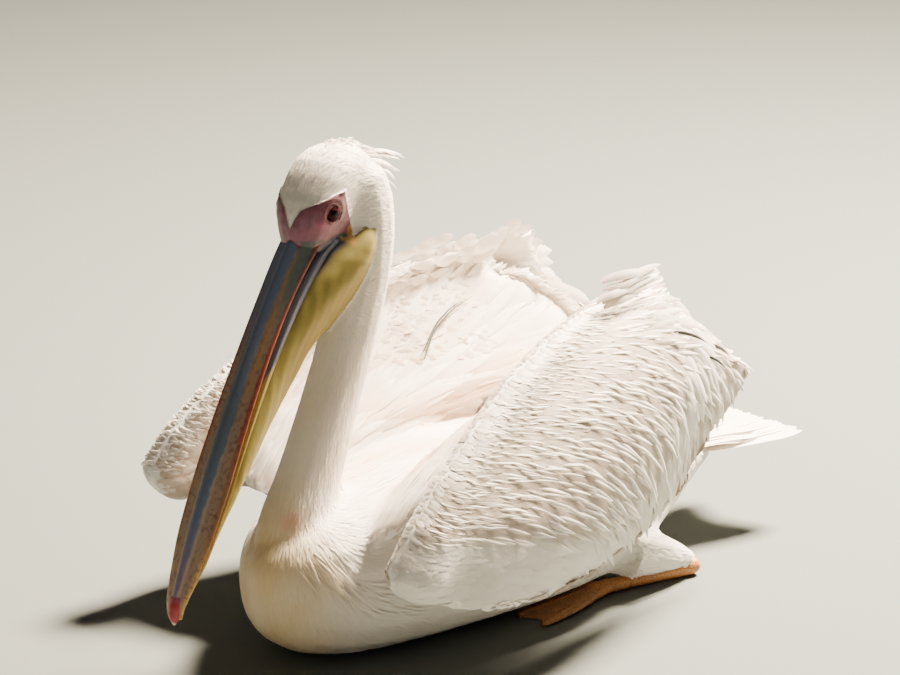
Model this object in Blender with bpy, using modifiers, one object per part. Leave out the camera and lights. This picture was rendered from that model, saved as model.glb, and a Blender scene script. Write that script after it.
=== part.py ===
"""Great white pelican at rest on its belly, life size, as a still museum model.

The bird faces -Y with its left side at +X, and the floor is z = 0.
The neck is drawn up, the bill points down in front of the breast, and both wings are half
raised: wrists low beside the breast, elbows high over the back.
Each named part of the body is one closed solid, 0.3 mm clear of its neighbours.
"""

import math

import bmesh
import bpy
import numpy as np
from mathutils import Matrix, Vector

# ---- driving sizes, metres ----
GAP = 0.0004
BILL_LENGTH = 0.43
BILL_HALF_WIDTH = 0.0245
BILL_ARCH = 0.0150
HEAD_LENGTH = 0.124
EYE_RADIUS = 0.0078
NECK_RADIUS = 0.0335
BODY_HALF_WIDTH = 0.152
TAIL_TIP_Y = 0.490
TAIL_HEIGHT = 0.110
WING_SHEET = 0.014
TARSUS_RADIUS = 0.0085
TOE_SPREAD = (-0.86, 0.0, 0.86)

# The head frame starts on the ridge at the base of the horny bill.
BILL_BASE = (0.0, -0.2505, 0.4715)
BILL_PITCH_DEG = 61.4
HEAD_TURN_DEG = 12.0

COLOURS = {
    "plumage": ((0.86, 0.82, 0.78), 0.75),
    "face": ((0.42, 0.12, 0.15), 0.55),
    "bill": ((0.22, 0.24, 0.30), 0.40),
    "nail": ((0.62, 0.05, 0.07), 0.35),
    "pouch": ((0.72, 0.52, 0.08), 0.50),
    "eye": ((0.08, 0.01, 0.01), 0.10),
    "quill": ((0.05, 0.05, 0.06), 0.60),
    "leg": ((0.75, 0.36, 0.16), 0.50),
}


# ---- scene and materials ----
def clear_scene():
    for obj in list(bpy.data.objects):
        bpy.data.objects.remove(obj)


def new_collection(name, helper=False):
    collection = bpy.data.collections.new(name)
    collection.hide_render = helper
    bpy.context.scene.collection.children.link(collection)
    return collection


def make_material(name):
    colour, roughness = COLOURS[name]
    material = bpy.data.materials.new(name)
    material.use_nodes = True
    shader = material.node_tree.nodes["Principled BSDF"]
    shader.inputs["Base Color"].default_value = (*colour, 1.0)
    shader.inputs["Roughness"].default_value = roughness
    shader.inputs["Metallic"].default_value = 0.0
    return material


def add_object(name, mesh, material, parent=None):
    obj = bpy.data.objects.new(name, mesh)
    PARTS.objects.link(obj)
    mesh.materials.append(MATERIALS[material])
    mesh.shade_smooth()
    obj.parent = parent
    return obj


# ---- curves and lofts ----
def through(stations, count):
    """Rows read evenly along a smooth (Catmull-Rom) curve through the stations."""
    points = np.array(stations, float)
    padded = np.vstack([2 * points[0] - points[1], points, 2 * points[-1] - points[-2]])
    rows = []
    for at in np.linspace(0, len(points) - 1, count):
        i = min(int(at), len(points) - 2)
        t = at - i
        a, b, c, d = padded[i : i + 4]
        rows.append(
            0.5 * (2 * b + (c - a) * t + (2 * a - 5 * b + 4 * c - d) * t**2 + (3 * b - a - 3 * c + d) * t**3)
        )
    return np.array(rows)


def oval(half_width, rise, drop, segments, power=2.0):
    """(across, up) round an oval whose upper and lower halves differ in height."""
    points = []
    for i in range(segments):
        angle = 2 * math.pi * i / segments
        c, s = math.cos(angle), math.sin(angle)
        across = half_width * math.copysign(abs(c) ** (2 / power), c)
        up = (rise if s > 0 else drop) * math.copysign(abs(s) ** (2 / power), s)
        points.append((across, up))
    return points


def loft(name, rings, material, parent=None):
    """A closed solid through rings of equal, even count; each end is closed by rungs across it."""
    bm = bmesh.new()
    rows = [[bm.verts.new(p) for p in ring] for ring in rings]
    for row, after in zip(rows, rows[1:]):
        for i in range(len(row)):
            j = (i + 1) % len(row)
            bm.faces.new((row[i], row[j], after[j], after[i]))
    for row in (rows[0], rows[-1]):
        count = len(row)
        bm.faces.new((row[0], row[1], row[-1]))
        for i in range(1, count // 2 - 1):
            bm.faces.new((row[i], row[i + 1], row[count - i - 1], row[count - i]))
        bm.faces.new((row[count // 2 - 1], row[count // 2], row[count // 2 + 1]))
    bmesh.ops.recalc_face_normals(bm, faces=bm.faces)
    bmesh.ops.triangulate(bm, faces=bm.faces)
    mesh = bpy.data.meshes.new(name)
    bm.to_mesh(mesh)
    bm.free()
    return add_object(name, mesh, material, parent)


def tube_rings(stations, count, segments):
    """Round rings square to a path; each station is x, y, z, radius."""
    rows = through(stations, count)
    path = [Vector(row[:3]) for row in rows]
    rings = []
    for i, centre in enumerate(path):
        along = (path[min(i + 1, count - 1)] - path[max(i - 1, 0)]).normalized()
        side = along.cross(Vector((0, 0, 1)))
        side = side.normalized() if side.length > 0.2 else Vector((1, 0, 0))
        up = side.cross(along).normalized()
        radius = rows[i][3]
        rings.append([centre + side * a + up * b for a, b in oval(radius, radius, radius, segments)])
    return rings


def tube(name, stations, count, segments, material):
    return loft(name, tube_rings(stations, count, segments), material)


def rounded_ends(stations, reach=0.6):
    """Adds two shrinking stations at each end of a tube, so that it ends in a dome."""
    rows = np.array(stations, float)
    first = rows[0] - rows[1]
    last = rows[-1] - rows[-2]
    out = []
    for share, size in ((1.0, 0.35), (0.7, 0.75)):
        out.append(end_station(rows[0], first, share * reach, size))
    out += [tuple(row) for row in rows]
    for share, size in ((0.7, 0.75), (1.0, 0.35)):
        out.append(end_station(rows[-1], last, share * reach, size))
    return out


def end_station(row, heading, share, size):
    step = heading[:3] / np.linalg.norm(heading[:3]) * row[3] * share
    return (*(row[:3] + step), row[3] * size)


# ---- cutting neighbours clear of each other ----
def cutter_of(obj, gap=GAP):
    """A hidden copy of a part, one gap larger all round."""
    copy = bpy.data.objects.new("cut_" + obj.name, obj.data)
    CUTTERS.objects.link(copy)
    copy.parent = obj.parent
    copy.matrix_local = obj.matrix_local
    copy.hide_render = True
    copy.display_type = "WIRE"
    for modifier in obj.modifiers:
        if modifier.type == "SOLIDIFY":
            twin = copy.modifiers.new("Sheet", "SOLIDIFY")
            twin.thickness = modifier.thickness
            twin.offset = modifier.offset
            twin.use_even_offset = modifier.use_even_offset
    grow = copy.modifiers.new("Grow", "DISPLACE")
    grow.strength = gap
    grow.mid_level = 0.0
    return copy


def clear_of(obj, *neighbours):
    for neighbour in neighbours:
        modifier = obj.modifiers.new("Clear " + neighbour.name, "BOOLEAN")
        modifier.operation = "DIFFERENCE"
        modifier.solver = "EXACT"
        modifier.object = CUTTER_OF[neighbour.name]


def ready_cutters(objects):
    for obj in objects:
        CUTTER_OF[obj.name] = cutter_of(obj)


def mirrored(name, obj):
    """The same part on the bird's right side, as its own mesh."""
    mesh = obj.data.copy()
    mesh.name = name
    mesh.transform(Matrix.Scale(-1, 4, (1, 0, 0)))
    mesh.flip_normals()
    twin = bpy.data.objects.new(name, mesh)
    PARTS.objects.link(twin)
    twin.parent = obj.parent
    for modifier in obj.modifiers:
        if modifier.type == "SOLIDIFY":
            copy = twin.modifiers.new("Sheet", "SOLIDIFY")
            copy.thickness = modifier.thickness
            copy.offset = modifier.offset
            copy.use_even_offset = modifier.use_even_offset
    return twin


# ---- trunk and neck ----
def build_trunk():
    # y, half width, lowest z, highest z, z of the widest line, shift towards the left side
    stations = (
        (-0.327, 0.012, 0.080, 0.112, 0.096, 0.018),
        (-0.317, 0.039, 0.044, 0.134, 0.092, 0.018),
        (-0.290, 0.073, 0.015, 0.156, 0.088, 0.016),
        (-0.248, 0.105, 0.000, 0.174, 0.088, 0.012),
        (-0.180, 0.137, -0.006, 0.188, 0.088, 0.004),
        (-0.050, BODY_HALF_WIDTH, -0.008, 0.208, 0.090, 0.0),
        (0.070, 0.148, -0.007, 0.206, 0.092, 0.0),
        (0.170, 0.124, -0.003, 0.186, 0.096, 0.0),
        (0.250, 0.090, 0.028, 0.160, 0.104, 0.0),
        (0.320, 0.058, 0.072, 0.136, 0.110, 0.0),
        (0.352, 0.044, 0.090, 0.126, 0.111, 0.0),
    )
    rings = []
    for y, half, low, high, wide, shift in through(stations, 19):
        ring = oval(half, high - wide, wide - low, 18, 2.25)
        rings.append([Vector((a + shift, y, max(wide + b, 0.0))) for a, b in ring])
    return loft("trunk", rings, "plumage")


def build_neck():
    # x, y, z, radius, from the breast up to the back of the head
    path = (
        (0.010, -0.262, 0.118, 0.052),
        (0.008, -0.256, 0.152, 0.044),
        (0.005, -0.236, 0.196, 0.0385),
        (0.002, -0.208, 0.262, 0.0350),
        (0.000, -0.180, 0.332, NECK_RADIUS),
        (0.000, -0.159, 0.405, 0.0345),
        (-0.002, -0.150, 0.455, 0.0365),
        (-0.006, -0.150, 0.498, 0.0375),
        (-0.010, -0.154, 0.532, 0.0330),
    )
    rings = tube_rings(path, 18, 14)
    split = 9
    step = (rings[split + 1][0] - rings[split][0]).normalized() * GAP
    lower = loft("neck_lower", rings[: split + 1], "plumage")
    upper = loft("neck_upper", [[p + step for p in rings[split]]] + rings[split + 1 :], "plumage")
    return lower, upper


# ---- head, in the head frame: -Y along the bill, +Z to the crown ----
def head_frame():
    empty = bpy.data.objects.new("head_frame", None)
    PARTS.objects.link(empty)
    empty.location = BILL_BASE
    empty.rotation_euler = (math.radians(BILL_PITCH_DEG), 0, math.radians(HEAD_TURN_DEG))
    return empty


def build_head(frame):
    # distance back along the skull, half width, underside, top, height of the widest line
    stations = (
        (-0.004, 0.0240, -0.040, -0.001, -0.022),
        (0.008, 0.0295, -0.052, 0.008, -0.020),
        (0.026, 0.0352, -0.068, 0.015, -0.014),
        (0.050, 0.0390, -0.086, 0.0175, -0.013),
        (0.078, 0.0398, -0.098, 0.0135, -0.019),
        (0.100, 0.0368, -0.100, 0.003, -0.030),
        (0.116, 0.0270, -0.088, -0.016, -0.044),
        (HEAD_LENGTH, 0.0120, -0.068, -0.034, -0.050),
    )
    rings = []
    for back, half, low, high, wide in through(stations, 12):
        ring = oval(half, high - wide, wide - low, 16, 2.1)
        rings.append([Vector((a, back, wide + b)) for a, b in ring])
    return loft("head", rings, "plumage", frame)


def build_eye(name, side, frame):
    mesh = bpy.data.meshes.new(name)
    bm = bmesh.new()
    bmesh.ops.create_uvsphere(bm, u_segments=10, v_segments=6, radius=EYE_RADIUS)
    bm.to_mesh(mesh)
    bm.free()
    eye = add_object(name, mesh, "eye", frame)
    eye.location = (side * 0.0315, 0.0405, -0.0105)
    return eye


def bill_half_width(share):
    """Half the upper bill's width: near parallel, widest past the middle, then in to the nail."""
    rows = through(
        ((0.0, 1.06), (0.15, 0.93), (0.3, 0.92), (0.5, 1.01), (0.63, 1.07), (0.78, 0.98), (0.9, 0.70), (1.0, 0.36)), 40
    )
    return BILL_HALF_WIDTH * float(np.interp(share, rows[:, 0], rows[:, 1]))


def culmen(share):
    """Height of the bill's ridge over the head frame: one long low bow."""
    return BILL_ARCH * math.sin(math.pi * min(max(share, 0.0), 1.0)) ** 0.85


def ridge_height(share):
    """How far the ridge stands over the cutting edges."""
    return 0.0088 + 0.008 * math.exp(-share / 0.12) - 0.0045 * max(share - 0.65, 0.0) / 0.35


def drift(share):
    """The bill's last third leans a little to the bird's right."""
    return -0.0045 * max(share, 0.0) ** 3


def build_upper_bill(frame):
    rings = []
    for share in np.linspace(0.0, 0.938, 15):
        half, top, rise = bill_half_width(share), culmen(share), ridge_height(share)
        ring = []
        for a, b in oval(half, rise, 0.0035, 16, 2.0):
            crown = math.exp(-((a / (0.5 * half)) ** 2)) if b > 0 else 1.0
            height = top - rise + b * (0.45 + 0.55 * crown)
            ring.append(Vector((a + drift(share), -share * BILL_LENGTH, height)))
        rings.append(ring)
    return loft("bill_upper", rings, "bill", frame)


def build_nail(frame):
    # distance forward, half width, height of its middle, half height
    start = 0.938 * BILL_LENGTH + GAP
    stations = (
        (start, 0.0108, -0.0010, 0.0048),
        (start + 0.009, 0.0098, -0.0022, 0.0055),
        (start + 0.018, 0.0080, -0.0055, 0.0062),
        (start + 0.025, 0.0042, -0.0105, 0.0048),
    )
    rings = []
    for forward, half, middle, rise in through(stations, 7):
        aside = drift(forward / BILL_LENGTH)
        rings.append([Vector((a + aside, -forward, middle + b)) for a, b in oval(half, rise, rise, 12)])
    return loft("nail", rings, "nail", frame)


def build_lower_bill(frame):
    """The two long jaw bars, closed against the upper bill, as one slim bow."""
    rings = []
    for forward in np.linspace(-0.026, 0.95 * BILL_LENGTH, 13):
        share = max(forward, 0.0) / BILL_LENGTH
        behind = max(-forward, 0.0)
        half = bill_half_width(share) * (1.06 - 0.12 * share) + 0.35 * behind
        top = culmen(share) - ridge_height(share) - 0.0042 - GAP - 0.45 * behind
        depth = 0.0200 - 0.0150 * min(share / 0.6, 1.0) ** 1.2
        ring = oval(half, depth / 2, depth / 2, 14, 2.6)
        rings.append([Vector((a + drift(share), -forward, top - depth / 2 + b)) for a, b in ring])
    return loft("bill_lower", rings, "bill", frame)


def build_pouch(frame):
    # distance forward, half width, top, bottom
    stations = (
        (-0.057, 0.032, -0.064, -0.086),
        (-0.046, 0.0510, -0.054, -0.106),
        (-0.018, 0.0545, -0.042, -0.125),
        (0.013, 0.0495, -0.029, -0.128),
        (0.048, 0.0385, -0.020, -0.112),
        (0.095, 0.0265, -0.014, -0.082),
        (0.150, 0.0225, -0.010, -0.067),
        (0.204, 0.0225, -0.008, -0.050),
        (0.262, 0.0225, -0.007, -0.036),
        (0.310, 0.0190, -0.008, -0.025),
        (0.350, 0.0135, -0.009, -0.018),
        (0.378, 0.0080, -0.010, -0.015),
    )
    rings = []
    for forward, half, high, low in through(stations, 14):
        middle = high - 0.35 * (high - low)
        ring = oval(half, high - middle, middle - low, 12, 1.9)
        aside = drift(forward / BILL_LENGTH)
        rings.append([Vector((a + aside, -forward, middle + b)) for a, b in ring])
    return loft("pouch", rings, "pouch", frame)


# ---- wings, made for the left side and mirrored ----
# Where the raised leading edge runs, from wrist to elbow: x, y, z, radius
LEADING_EDGE = (
    (0.219, -0.262, 0.146, 0.038),
    (0.213, -0.226, 0.196, 0.034),
    (0.197, -0.160, 0.257, 0.027),
    (0.172, -0.066, 0.316, 0.0235),
    (0.147, 0.034, 0.348, 0.021),
    (0.124, 0.112, 0.358, 0.018),
)
# Feathers flow from the leading edge (start), bow outwards (bow) and end at the wing's rear rim (end).
FLOW_START = (
    (0.236, -0.292, 0.140),
    (0.224, -0.225, 0.222),
    (0.190, -0.112, 0.301),
    (0.157, 0.010, 0.352),
    (0.137, 0.080, 0.364),
    (0.122, 0.125, 0.376),
)
FLOW_BOW = (
    (0.306, -0.174, 0.069),
    (0.322, -0.065, 0.162),
    (0.290, 0.052, 0.272),
    (0.226, 0.160, 0.345),
    (0.168, 0.172, 0.378),
    (0.126, 0.158, 0.392),
)
FLOW_END = (
    (0.156, 0.165, 0.108),
    (0.142, 0.212, 0.131),
    (0.136, 0.252, 0.172),
    (0.114, 0.345, 0.230),
    (0.114, 0.240, 0.296),
    (0.110, 0.190, 0.386),
)


def build_leading_edge(side):
    return tube("forewing_" + side, rounded_ends(LEADING_EDGE), 14, 10, "plumage")


def build_wing_sheet(side):
    """The sheet of coverts and flight feathers that hangs from the leading edge."""
    across, along = 11, 8
    starts, bows, ends = (through(c, across) for c in (FLOW_START, FLOW_BOW, FLOW_END))
    bm = bmesh.new()
    rows = []
    for start, bow, end in zip(starts, bows, ends):
        row = []
        for t in np.linspace(0.0, 1.0, along):
            row.append(bm.verts.new((1 - t) ** 2 * start + 2 * t * (1 - t) * bow + t**2 * end))
        rows.append(row)
    for row, after in zip(rows, rows[1:]):
        for i in range(along - 1):
            bm.faces.new((row[i], row[i + 1], after[i + 1], after[i]))
    bmesh.ops.recalc_face_normals(bm, faces=bm.faces)
    if bm.faces[:][across * 6].normal.x < 0:
        bmesh.ops.reverse_faces(bm, faces=bm.faces)
    bmesh.ops.triangulate(bm, faces=bm.faces)
    mesh = bpy.data.meshes.new("wing_" + side)
    bm.to_mesh(mesh)
    bm.free()
    wing = add_object("wing_" + side, mesh, "plumage")
    sheet = wing.modifiers.new("Sheet", "SOLIDIFY")
    sheet.thickness = WING_SHEET
    sheet.offset = -1.0
    return wing


def build_shoulder(side):
    """Upper arm and the long feathers over it: a wedge from the back up to the leading edge."""
    # y, then (x, z) of the valley by the spine, the wall, the crest, under the crest, the armpit
    stations = (
        (-0.228, 0.088, 0.150, 0.112, 0.166, 0.150, 0.182, 0.146, 0.160, 0.112, 0.142),
        (-0.180, 0.040, 0.172, 0.105, 0.205, 0.212, 0.262, 0.192, 0.222, 0.118, 0.150),
        (-0.090, 0.012, 0.203, 0.084, 0.240, 0.192, 0.325, 0.178, 0.275, 0.120, 0.175),
        (0.010, 0.006, 0.220, 0.064, 0.266, 0.158, 0.368, 0.154, 0.308, 0.118, 0.185),
        (0.110, 0.006, 0.224, 0.052, 0.270, 0.118, 0.380, 0.126, 0.315, 0.105, 0.185),
        (0.190, 0.006, 0.205, 0.042, 0.248, 0.092, 0.345, 0.108, 0.290, 0.090, 0.175),
        (0.262, 0.010, 0.178, 0.035, 0.205, 0.062, 0.245, 0.075, 0.225, 0.060, 0.165),
        (0.292, 0.018, 0.165, 0.030, 0.178, 0.045, 0.195, 0.052, 0.185, 0.042, 0.160),
    )
    rings = []
    for row in through(stations, 13):
        corners = [Vector((row[k], row[0], row[k + 1])) for k in (1, 3, 5, 7, 9)]
        rings.append(rounded_loop(corners, 14))
    return loft("shoulder_" + side, rings, "plumage")


def rounded_loop(corners, count):
    """Points evenly round a smooth closed curve near the corners."""
    total = len(corners)
    points = []
    for i in range(count):
        at = i * total / count
        k, t = int(at), at - int(at)
        a, b, c, d = (corners[(k + j - 1) % total] for j in range(4))
        points.append(
            ((1 - t) ** 3 * a + (3 * t**3 - 6 * t**2 + 4) * b + (-3 * t**3 + 3 * t**2 + 3 * t + 1) * c + t**3 * d) / 6
        )
    return points


def build_primaries(side):
    """The folded black hand feathers, carried under the wing's lower rim."""
    # y, x, z, half thickness, half height
    stations = (
        (-0.150, 0.205, 0.125, 0.006, 0.016),
        (-0.040, 0.208, 0.128, 0.008, 0.024),
        (0.080, 0.182, 0.132, 0.008, 0.026),
        (0.190, 0.132, 0.142, 0.007, 0.024),
        (0.280, 0.100, 0.155, 0.005, 0.018),
        (0.335, 0.084, 0.160, 0.002, 0.006),
    )
    rings = []
    for y, x, z, half, rise in through(stations, 9):
        rings.append([Vector((x + a, y, z + b)) for a, b in oval(half, rise, rise, 10)])
    return loft("primaries_" + side, rings, "quill")


# ---- tail ----
def build_tail():
    # y, half width, half thickness, height
    stations = (
        (0.3525, 0.040, 0.0150, 0.109),
        (0.385, 0.050, 0.0110, 0.110),
        (0.430, 0.060, 0.0075, TAIL_HEIGHT),
        (0.465, 0.064, 0.0050, TAIL_HEIGHT),
        (0.482, 0.052, 0.0035, TAIL_HEIGHT),
        (TAIL_TIP_Y, 0.030, 0.0022, TAIL_HEIGHT),
    )
    rings = []
    for y, half, rise, z in through(stations, 9):
        ring = oval(half, rise, rise, 16, 2.4)
        rings.append([Vector((a, y, z + b - 0.10 * a * a / 0.06)) for a, b in ring])
    return loft("tail", rings, "plumage")


# ---- legs, tucked under: made for the left side and mirrored ----
def build_shank(side):
    path = ((0.104, 0.150, 0.050, 0.036), (0.112, 0.200, 0.036, 0.026), (0.117, 0.243, 0.021, 0.0125))
    return tube("shank_" + side, path, 6, 10, "plumage")


def build_leg(side):
    """Heel, shank bone and webbed foot in one: the toes are ridges along the web, flat on the floor."""
    # y, x, half width, lowest z, highest z, how far it is a web rather than a bar
    stations = (
        (0.2560, 0.1180, 0.0050, 0.0070, 0.0160, 0.0),
        (0.2510, 0.1175, 0.0095, 0.0020, 0.0215, 0.0),
        (0.2420, 0.1165, TARSUS_RADIUS + 0.0025, 0.0008, 0.0225, 0.0),
        (0.2200, 0.1130, TARSUS_RADIUS, 0.0010, 0.0185, 0.0),
        (0.1600, 0.1020, TARSUS_RADIUS, 0.0006, 0.0170, 0.0),
        (0.1240, 0.0950, 0.0125, 0.0000, 0.0160, 0.1),
        (0.0950, 0.0910, 0.0260, 0.0000, 0.0120, 0.6),
        (0.0600, 0.0900, 0.0370, 0.0000, 0.0095, 1.0),
        (0.0250, 0.0900, 0.0440, 0.0000, 0.0080, 1.0),
        (0.0120, 0.0900, 0.0450, 0.0000, 0.0060, 1.0),
    )
    rings = []
    rows = through(stations, 14)
    for n, (y, x, half, low, high, web) in enumerate(rows):
        middle, rise = (low + high) / 2, (high - low) / 2
        tip = max(n - len(rows) + 4, 0) / 3
        ring = []
        for a, b in oval(half, rise, rise, 20, 2.0 + 1.5 * web):
            toe = max(math.exp(-(((a / half - at) / 0.17) ** 2)) for at in TOE_SPREAD)
            if b > 0:
                b *= 1 - 0.5 * web * (1 - toe)
            ring.append(Vector((x + a, y - 0.013 * tip * toe, max(middle + b, 0.0))))
        rings.append(ring)
    return loft("leg_" + side, rings, "leg")


# ---- assembly ----
def build_pelican():
    trunk = build_trunk()
    neck_lower, neck_upper = build_neck()
    frame = head_frame()
    head = build_head(frame)
    eyes = [build_eye("eye_left", 1, frame), build_eye("eye_right", -1, frame)]
    bill_upper = build_upper_bill(frame)
    nail = build_nail(frame)
    bill_lower = build_lower_bill(frame)
    pouch = build_pouch(frame)
    tail = build_tail()

    pairs = {}
    for build, key in (
        (build_leading_edge, "forewing"),
        (build_wing_sheet, "wing"),
        (build_shoulder, "shoulder"),
        (build_primaries, "primaries"),
        (build_shank, "shank"),
        (build_leg, "leg"),
    ):
        left = build("left")
        pairs[key] = (left, mirrored(key + "_right", left))

    bpy.context.view_layer.update()
    everything = [trunk, neck_lower, neck_upper, head, bill_upper, nail, bill_lower, pouch, tail, *eyes]
    for pair in pairs.values():
        everything += pair
    ready_cutters(everything)

    clear_of(head, *eyes)
    clear_of(bill_upper, head)
    clear_of(nail, bill_upper)
    clear_of(bill_lower, head, bill_upper, nail)
    clear_of(neck_upper, head)
    clear_of(pouch, head, bill_upper, bill_lower, nail, neck_upper, neck_lower)
    clear_of(neck_lower, trunk)
    clear_of(tail, trunk)
    for k in range(2):
        arm, wing, shoulder = (pairs[key][k] for key in ("forewing", "wing", "shoulder"))
        primaries, shank, leg = (pairs[key][k] for key in ("primaries", "shank", "leg"))
        clear_of(trunk, leg)
        clear_of(shank, trunk, leg)
        clear_of(wing, arm, trunk)
        clear_of(shoulder, trunk, arm, wing)
        clear_of(primaries, wing, trunk, arm, shoulder, tail)


clear_scene()
PARTS = new_collection("pelican")
CUTTERS = new_collection("cutters", helper=True)
CUTTER_OF = {}
MATERIALS = {name: make_material(name) for name in COLOURS}
build_pelican()
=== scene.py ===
import math

import bmesh
import bpy
import numpy as np
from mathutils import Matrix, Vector
from mathutils.bvhtree import BVHTree
from mathutils.kdtree import KDTree


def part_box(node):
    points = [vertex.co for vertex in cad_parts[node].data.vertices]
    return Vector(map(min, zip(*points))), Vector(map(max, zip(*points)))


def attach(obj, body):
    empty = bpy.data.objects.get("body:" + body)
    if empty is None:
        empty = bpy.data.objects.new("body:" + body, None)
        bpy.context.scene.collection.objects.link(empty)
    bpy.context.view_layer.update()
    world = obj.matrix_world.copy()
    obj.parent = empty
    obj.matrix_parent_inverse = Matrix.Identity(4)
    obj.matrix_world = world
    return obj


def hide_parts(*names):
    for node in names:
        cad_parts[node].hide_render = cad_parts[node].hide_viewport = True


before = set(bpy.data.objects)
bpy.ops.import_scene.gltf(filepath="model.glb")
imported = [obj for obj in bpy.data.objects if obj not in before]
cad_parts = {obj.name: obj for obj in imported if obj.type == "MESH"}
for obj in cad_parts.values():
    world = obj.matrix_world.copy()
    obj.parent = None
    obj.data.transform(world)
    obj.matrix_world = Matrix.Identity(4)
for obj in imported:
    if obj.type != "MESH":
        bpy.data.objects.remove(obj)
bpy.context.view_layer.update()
print("frame loaded")

sides = {"left": 1, "right": -1}
chance = np.random.default_rng(7)

# the head's own axes: lateral to the bird's left, forward along the bill, up out of the bill's ridge
head = dict(billBase=(0.0, -0.2505, 0.4715), pitch=61.4, billLength=0.43)


def centreOf(node):
    low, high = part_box(node)
    return (low + high) / 2


lateral = centreOf("eye_left") - centreOf("eye_right")
lateral.z = 0
lateral.normalize()
pitch = math.radians(head["pitch"])
forward = Vector((lateral.y, -lateral.x, 0)) * math.cos(pitch) + Vector((0, 0, -math.sin(pitch)))
headAxes = np.array([lateral, forward, lateral.cross(-forward)])


def toHead(points):
    # Columns: lateral, back from the bill's base, up from its ridge.
    return (points - np.array(head["billBase"])) @ headAxes.T * (1, -1, 1)


def fromHead(points):
    return np.asarray(points, float) * (1, -1, 1) @ headAxes + np.array(head["billBase"])


# small numeric helpers
def unit(vectors):
    return vectors / np.maximum(np.linalg.norm(vectors, axis=-1, keepdims=True), 1e-9)


def ease(value, start, end):
    t = np.clip((value - start) / (end - start), 0, 1)
    return t * t * (3 - 2 * t)


def mix(a, b, share):
    return a + (b - a) * share


def bump(value, middle, width):
    return np.exp(-(((value - middle) / width) ** 2))


def curve(places, values):
    # A soft curve through a few values.
    fine = np.linspace(places[0], places[-1], 400)
    row = np.pad(np.interp(fine, places, values), 24, mode="reflect", reflect_type="odd")
    soft = np.convolve(row, np.hanning(49) / np.hanning(49).sum(), "valid")
    return lambda x: np.interp(x, fine, soft)


def linear(text):
    # sRGB hex to linear red, green, blue.
    values = [int(text[i : i + 2], 16) / 255 for i in (1, 3, 5)]
    return [v / 12.92 if v <= 0.04045 else ((v + 0.055) / 1.055) ** 2.4 for v in values]


def tones(**texts):
    # Named paints from their sRGB hex values.
    return {name: np.array(linear(text)) for name, text in texts.items()}


def layered(colour, *layers):
    # Lays paints over a colour in turn, each by its share at each point.
    for paint, share in layers:
        colour = mix(colour, paint, share[:, None])
    return colour


# meshes
def addObject(name, data):
    item = bpy.data.objects.new(name, data)
    bpy.context.scene.collection.objects.link(item)
    return item


def meshFrom(bm, name):
    mesh = bpy.data.meshes.new(name)
    bm.to_mesh(mesh)
    bm.free()
    return mesh


def meshOf(name, points, quads):
    mesh = bpy.data.meshes.new(name)
    mesh.vertices.add(len(points))
    mesh.vertices.foreach_set("co", np.ascontiguousarray(points, np.float32).ravel())
    mesh.loops.add(quads.size)
    mesh.loops.foreach_set("vertex_index", np.ascontiguousarray(quads, np.int32).ravel())
    mesh.polygons.add(len(quads))
    mesh.polygons.foreach_set("loop_start", np.arange(0, quads.size, 4, dtype=np.int32))
    mesh.update(calc_edges=True)
    mesh.shade_smooth()
    return mesh


def ofVertices(mesh, what="co"):
    # The places or the normals of a mesh's vertices.
    values = np.empty(len(mesh.vertices) * 3)
    mesh.vertices.foreach_get(what, values)
    return values.reshape(-1, 3)


def setMap(mesh, name, perVertex):
    layer = mesh.uv_layers.new(name=name)
    index = np.empty(len(mesh.loops), np.int32)
    mesh.loops.foreach_get("vertex_index", index)
    layer.data.foreach_set("uv", np.ascontiguousarray(perVertex[index], np.float32).ravel())


def setPaint(mesh, name, colours):
    # A colour for each vertex, or one number as a grey; a fourth column is the alpha.
    layer = mesh.attributes.new(name, "FLOAT_COLOR", "POINT")
    if colours.ndim == 1:
        colours = np.repeat(colours[:, None], 3, 1)
    full = np.ones((len(colours), 4), np.float32)
    full[:, : colours.shape[1]] = colours
    layer.data.foreach_set("color", full.ravel())


def addPiece(name, mesh, material, replaced=()):
    piece = addObject(name, mesh)
    mesh.materials.append(material)
    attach(piece, "root")
    if replaced:
        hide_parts(*replaced)


def sleeve(name, around, along, place, paint=None):
    # A grid rolled into a closed shell: place(turn, run) gives the points, both from 0 to 1.
    bm = bmesh.new()
    bm.loops.layers.uv.new("PieceMap")
    bmesh.ops.create_grid(bm, x_segments=around, y_segments=along, size=0.5, calc_uvs=True)
    flat = np.array([v.co[:2] for v in bm.verts]) + 0.5
    for v, point in zip(bm.verts, place(flat[:, 0], flat[:, 1]).tolist()):
        v.co = point
    if paint:
        layer = bm.verts.layers.float_color.new("tint")
        for v, colour in zip(bm.verts, paint(flat[:, 0], flat[:, 1]).tolist()):
            v[layer] = (*colour, 1)
    bmesh.ops.remove_doubles(bm, verts=bm.verts, dist=0.000002)
    bmesh.ops.recalc_face_normals(bm, faces=bm.faces)
    mesh = meshFrom(bm, name)
    mesh.shade_smooth()
    return mesh


# materials
def newMaterial(name, **settings):
    material = bpy.data.materials.new(name)
    material.use_nodes = True
    shader = material.node_tree.nodes["Principled BSDF"]
    for key, value in settings.items():
        shader.inputs[key.replace("_", " ")].default_value = value
    return material, material.node_tree, shader


def plug(tree, node, links):
    # Gives an input, by name or number, a value, a hex colour or a (node, output) pair.
    for key, value in links.items():
        if isinstance(value, tuple) and hasattr(value[0], "outputs"):
            tree.links.new(value[0].outputs[value[1]], node.inputs[key])
        else:
            node.inputs[key].default_value = (*linear(value), 1) if isinstance(value, str) else value


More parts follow.
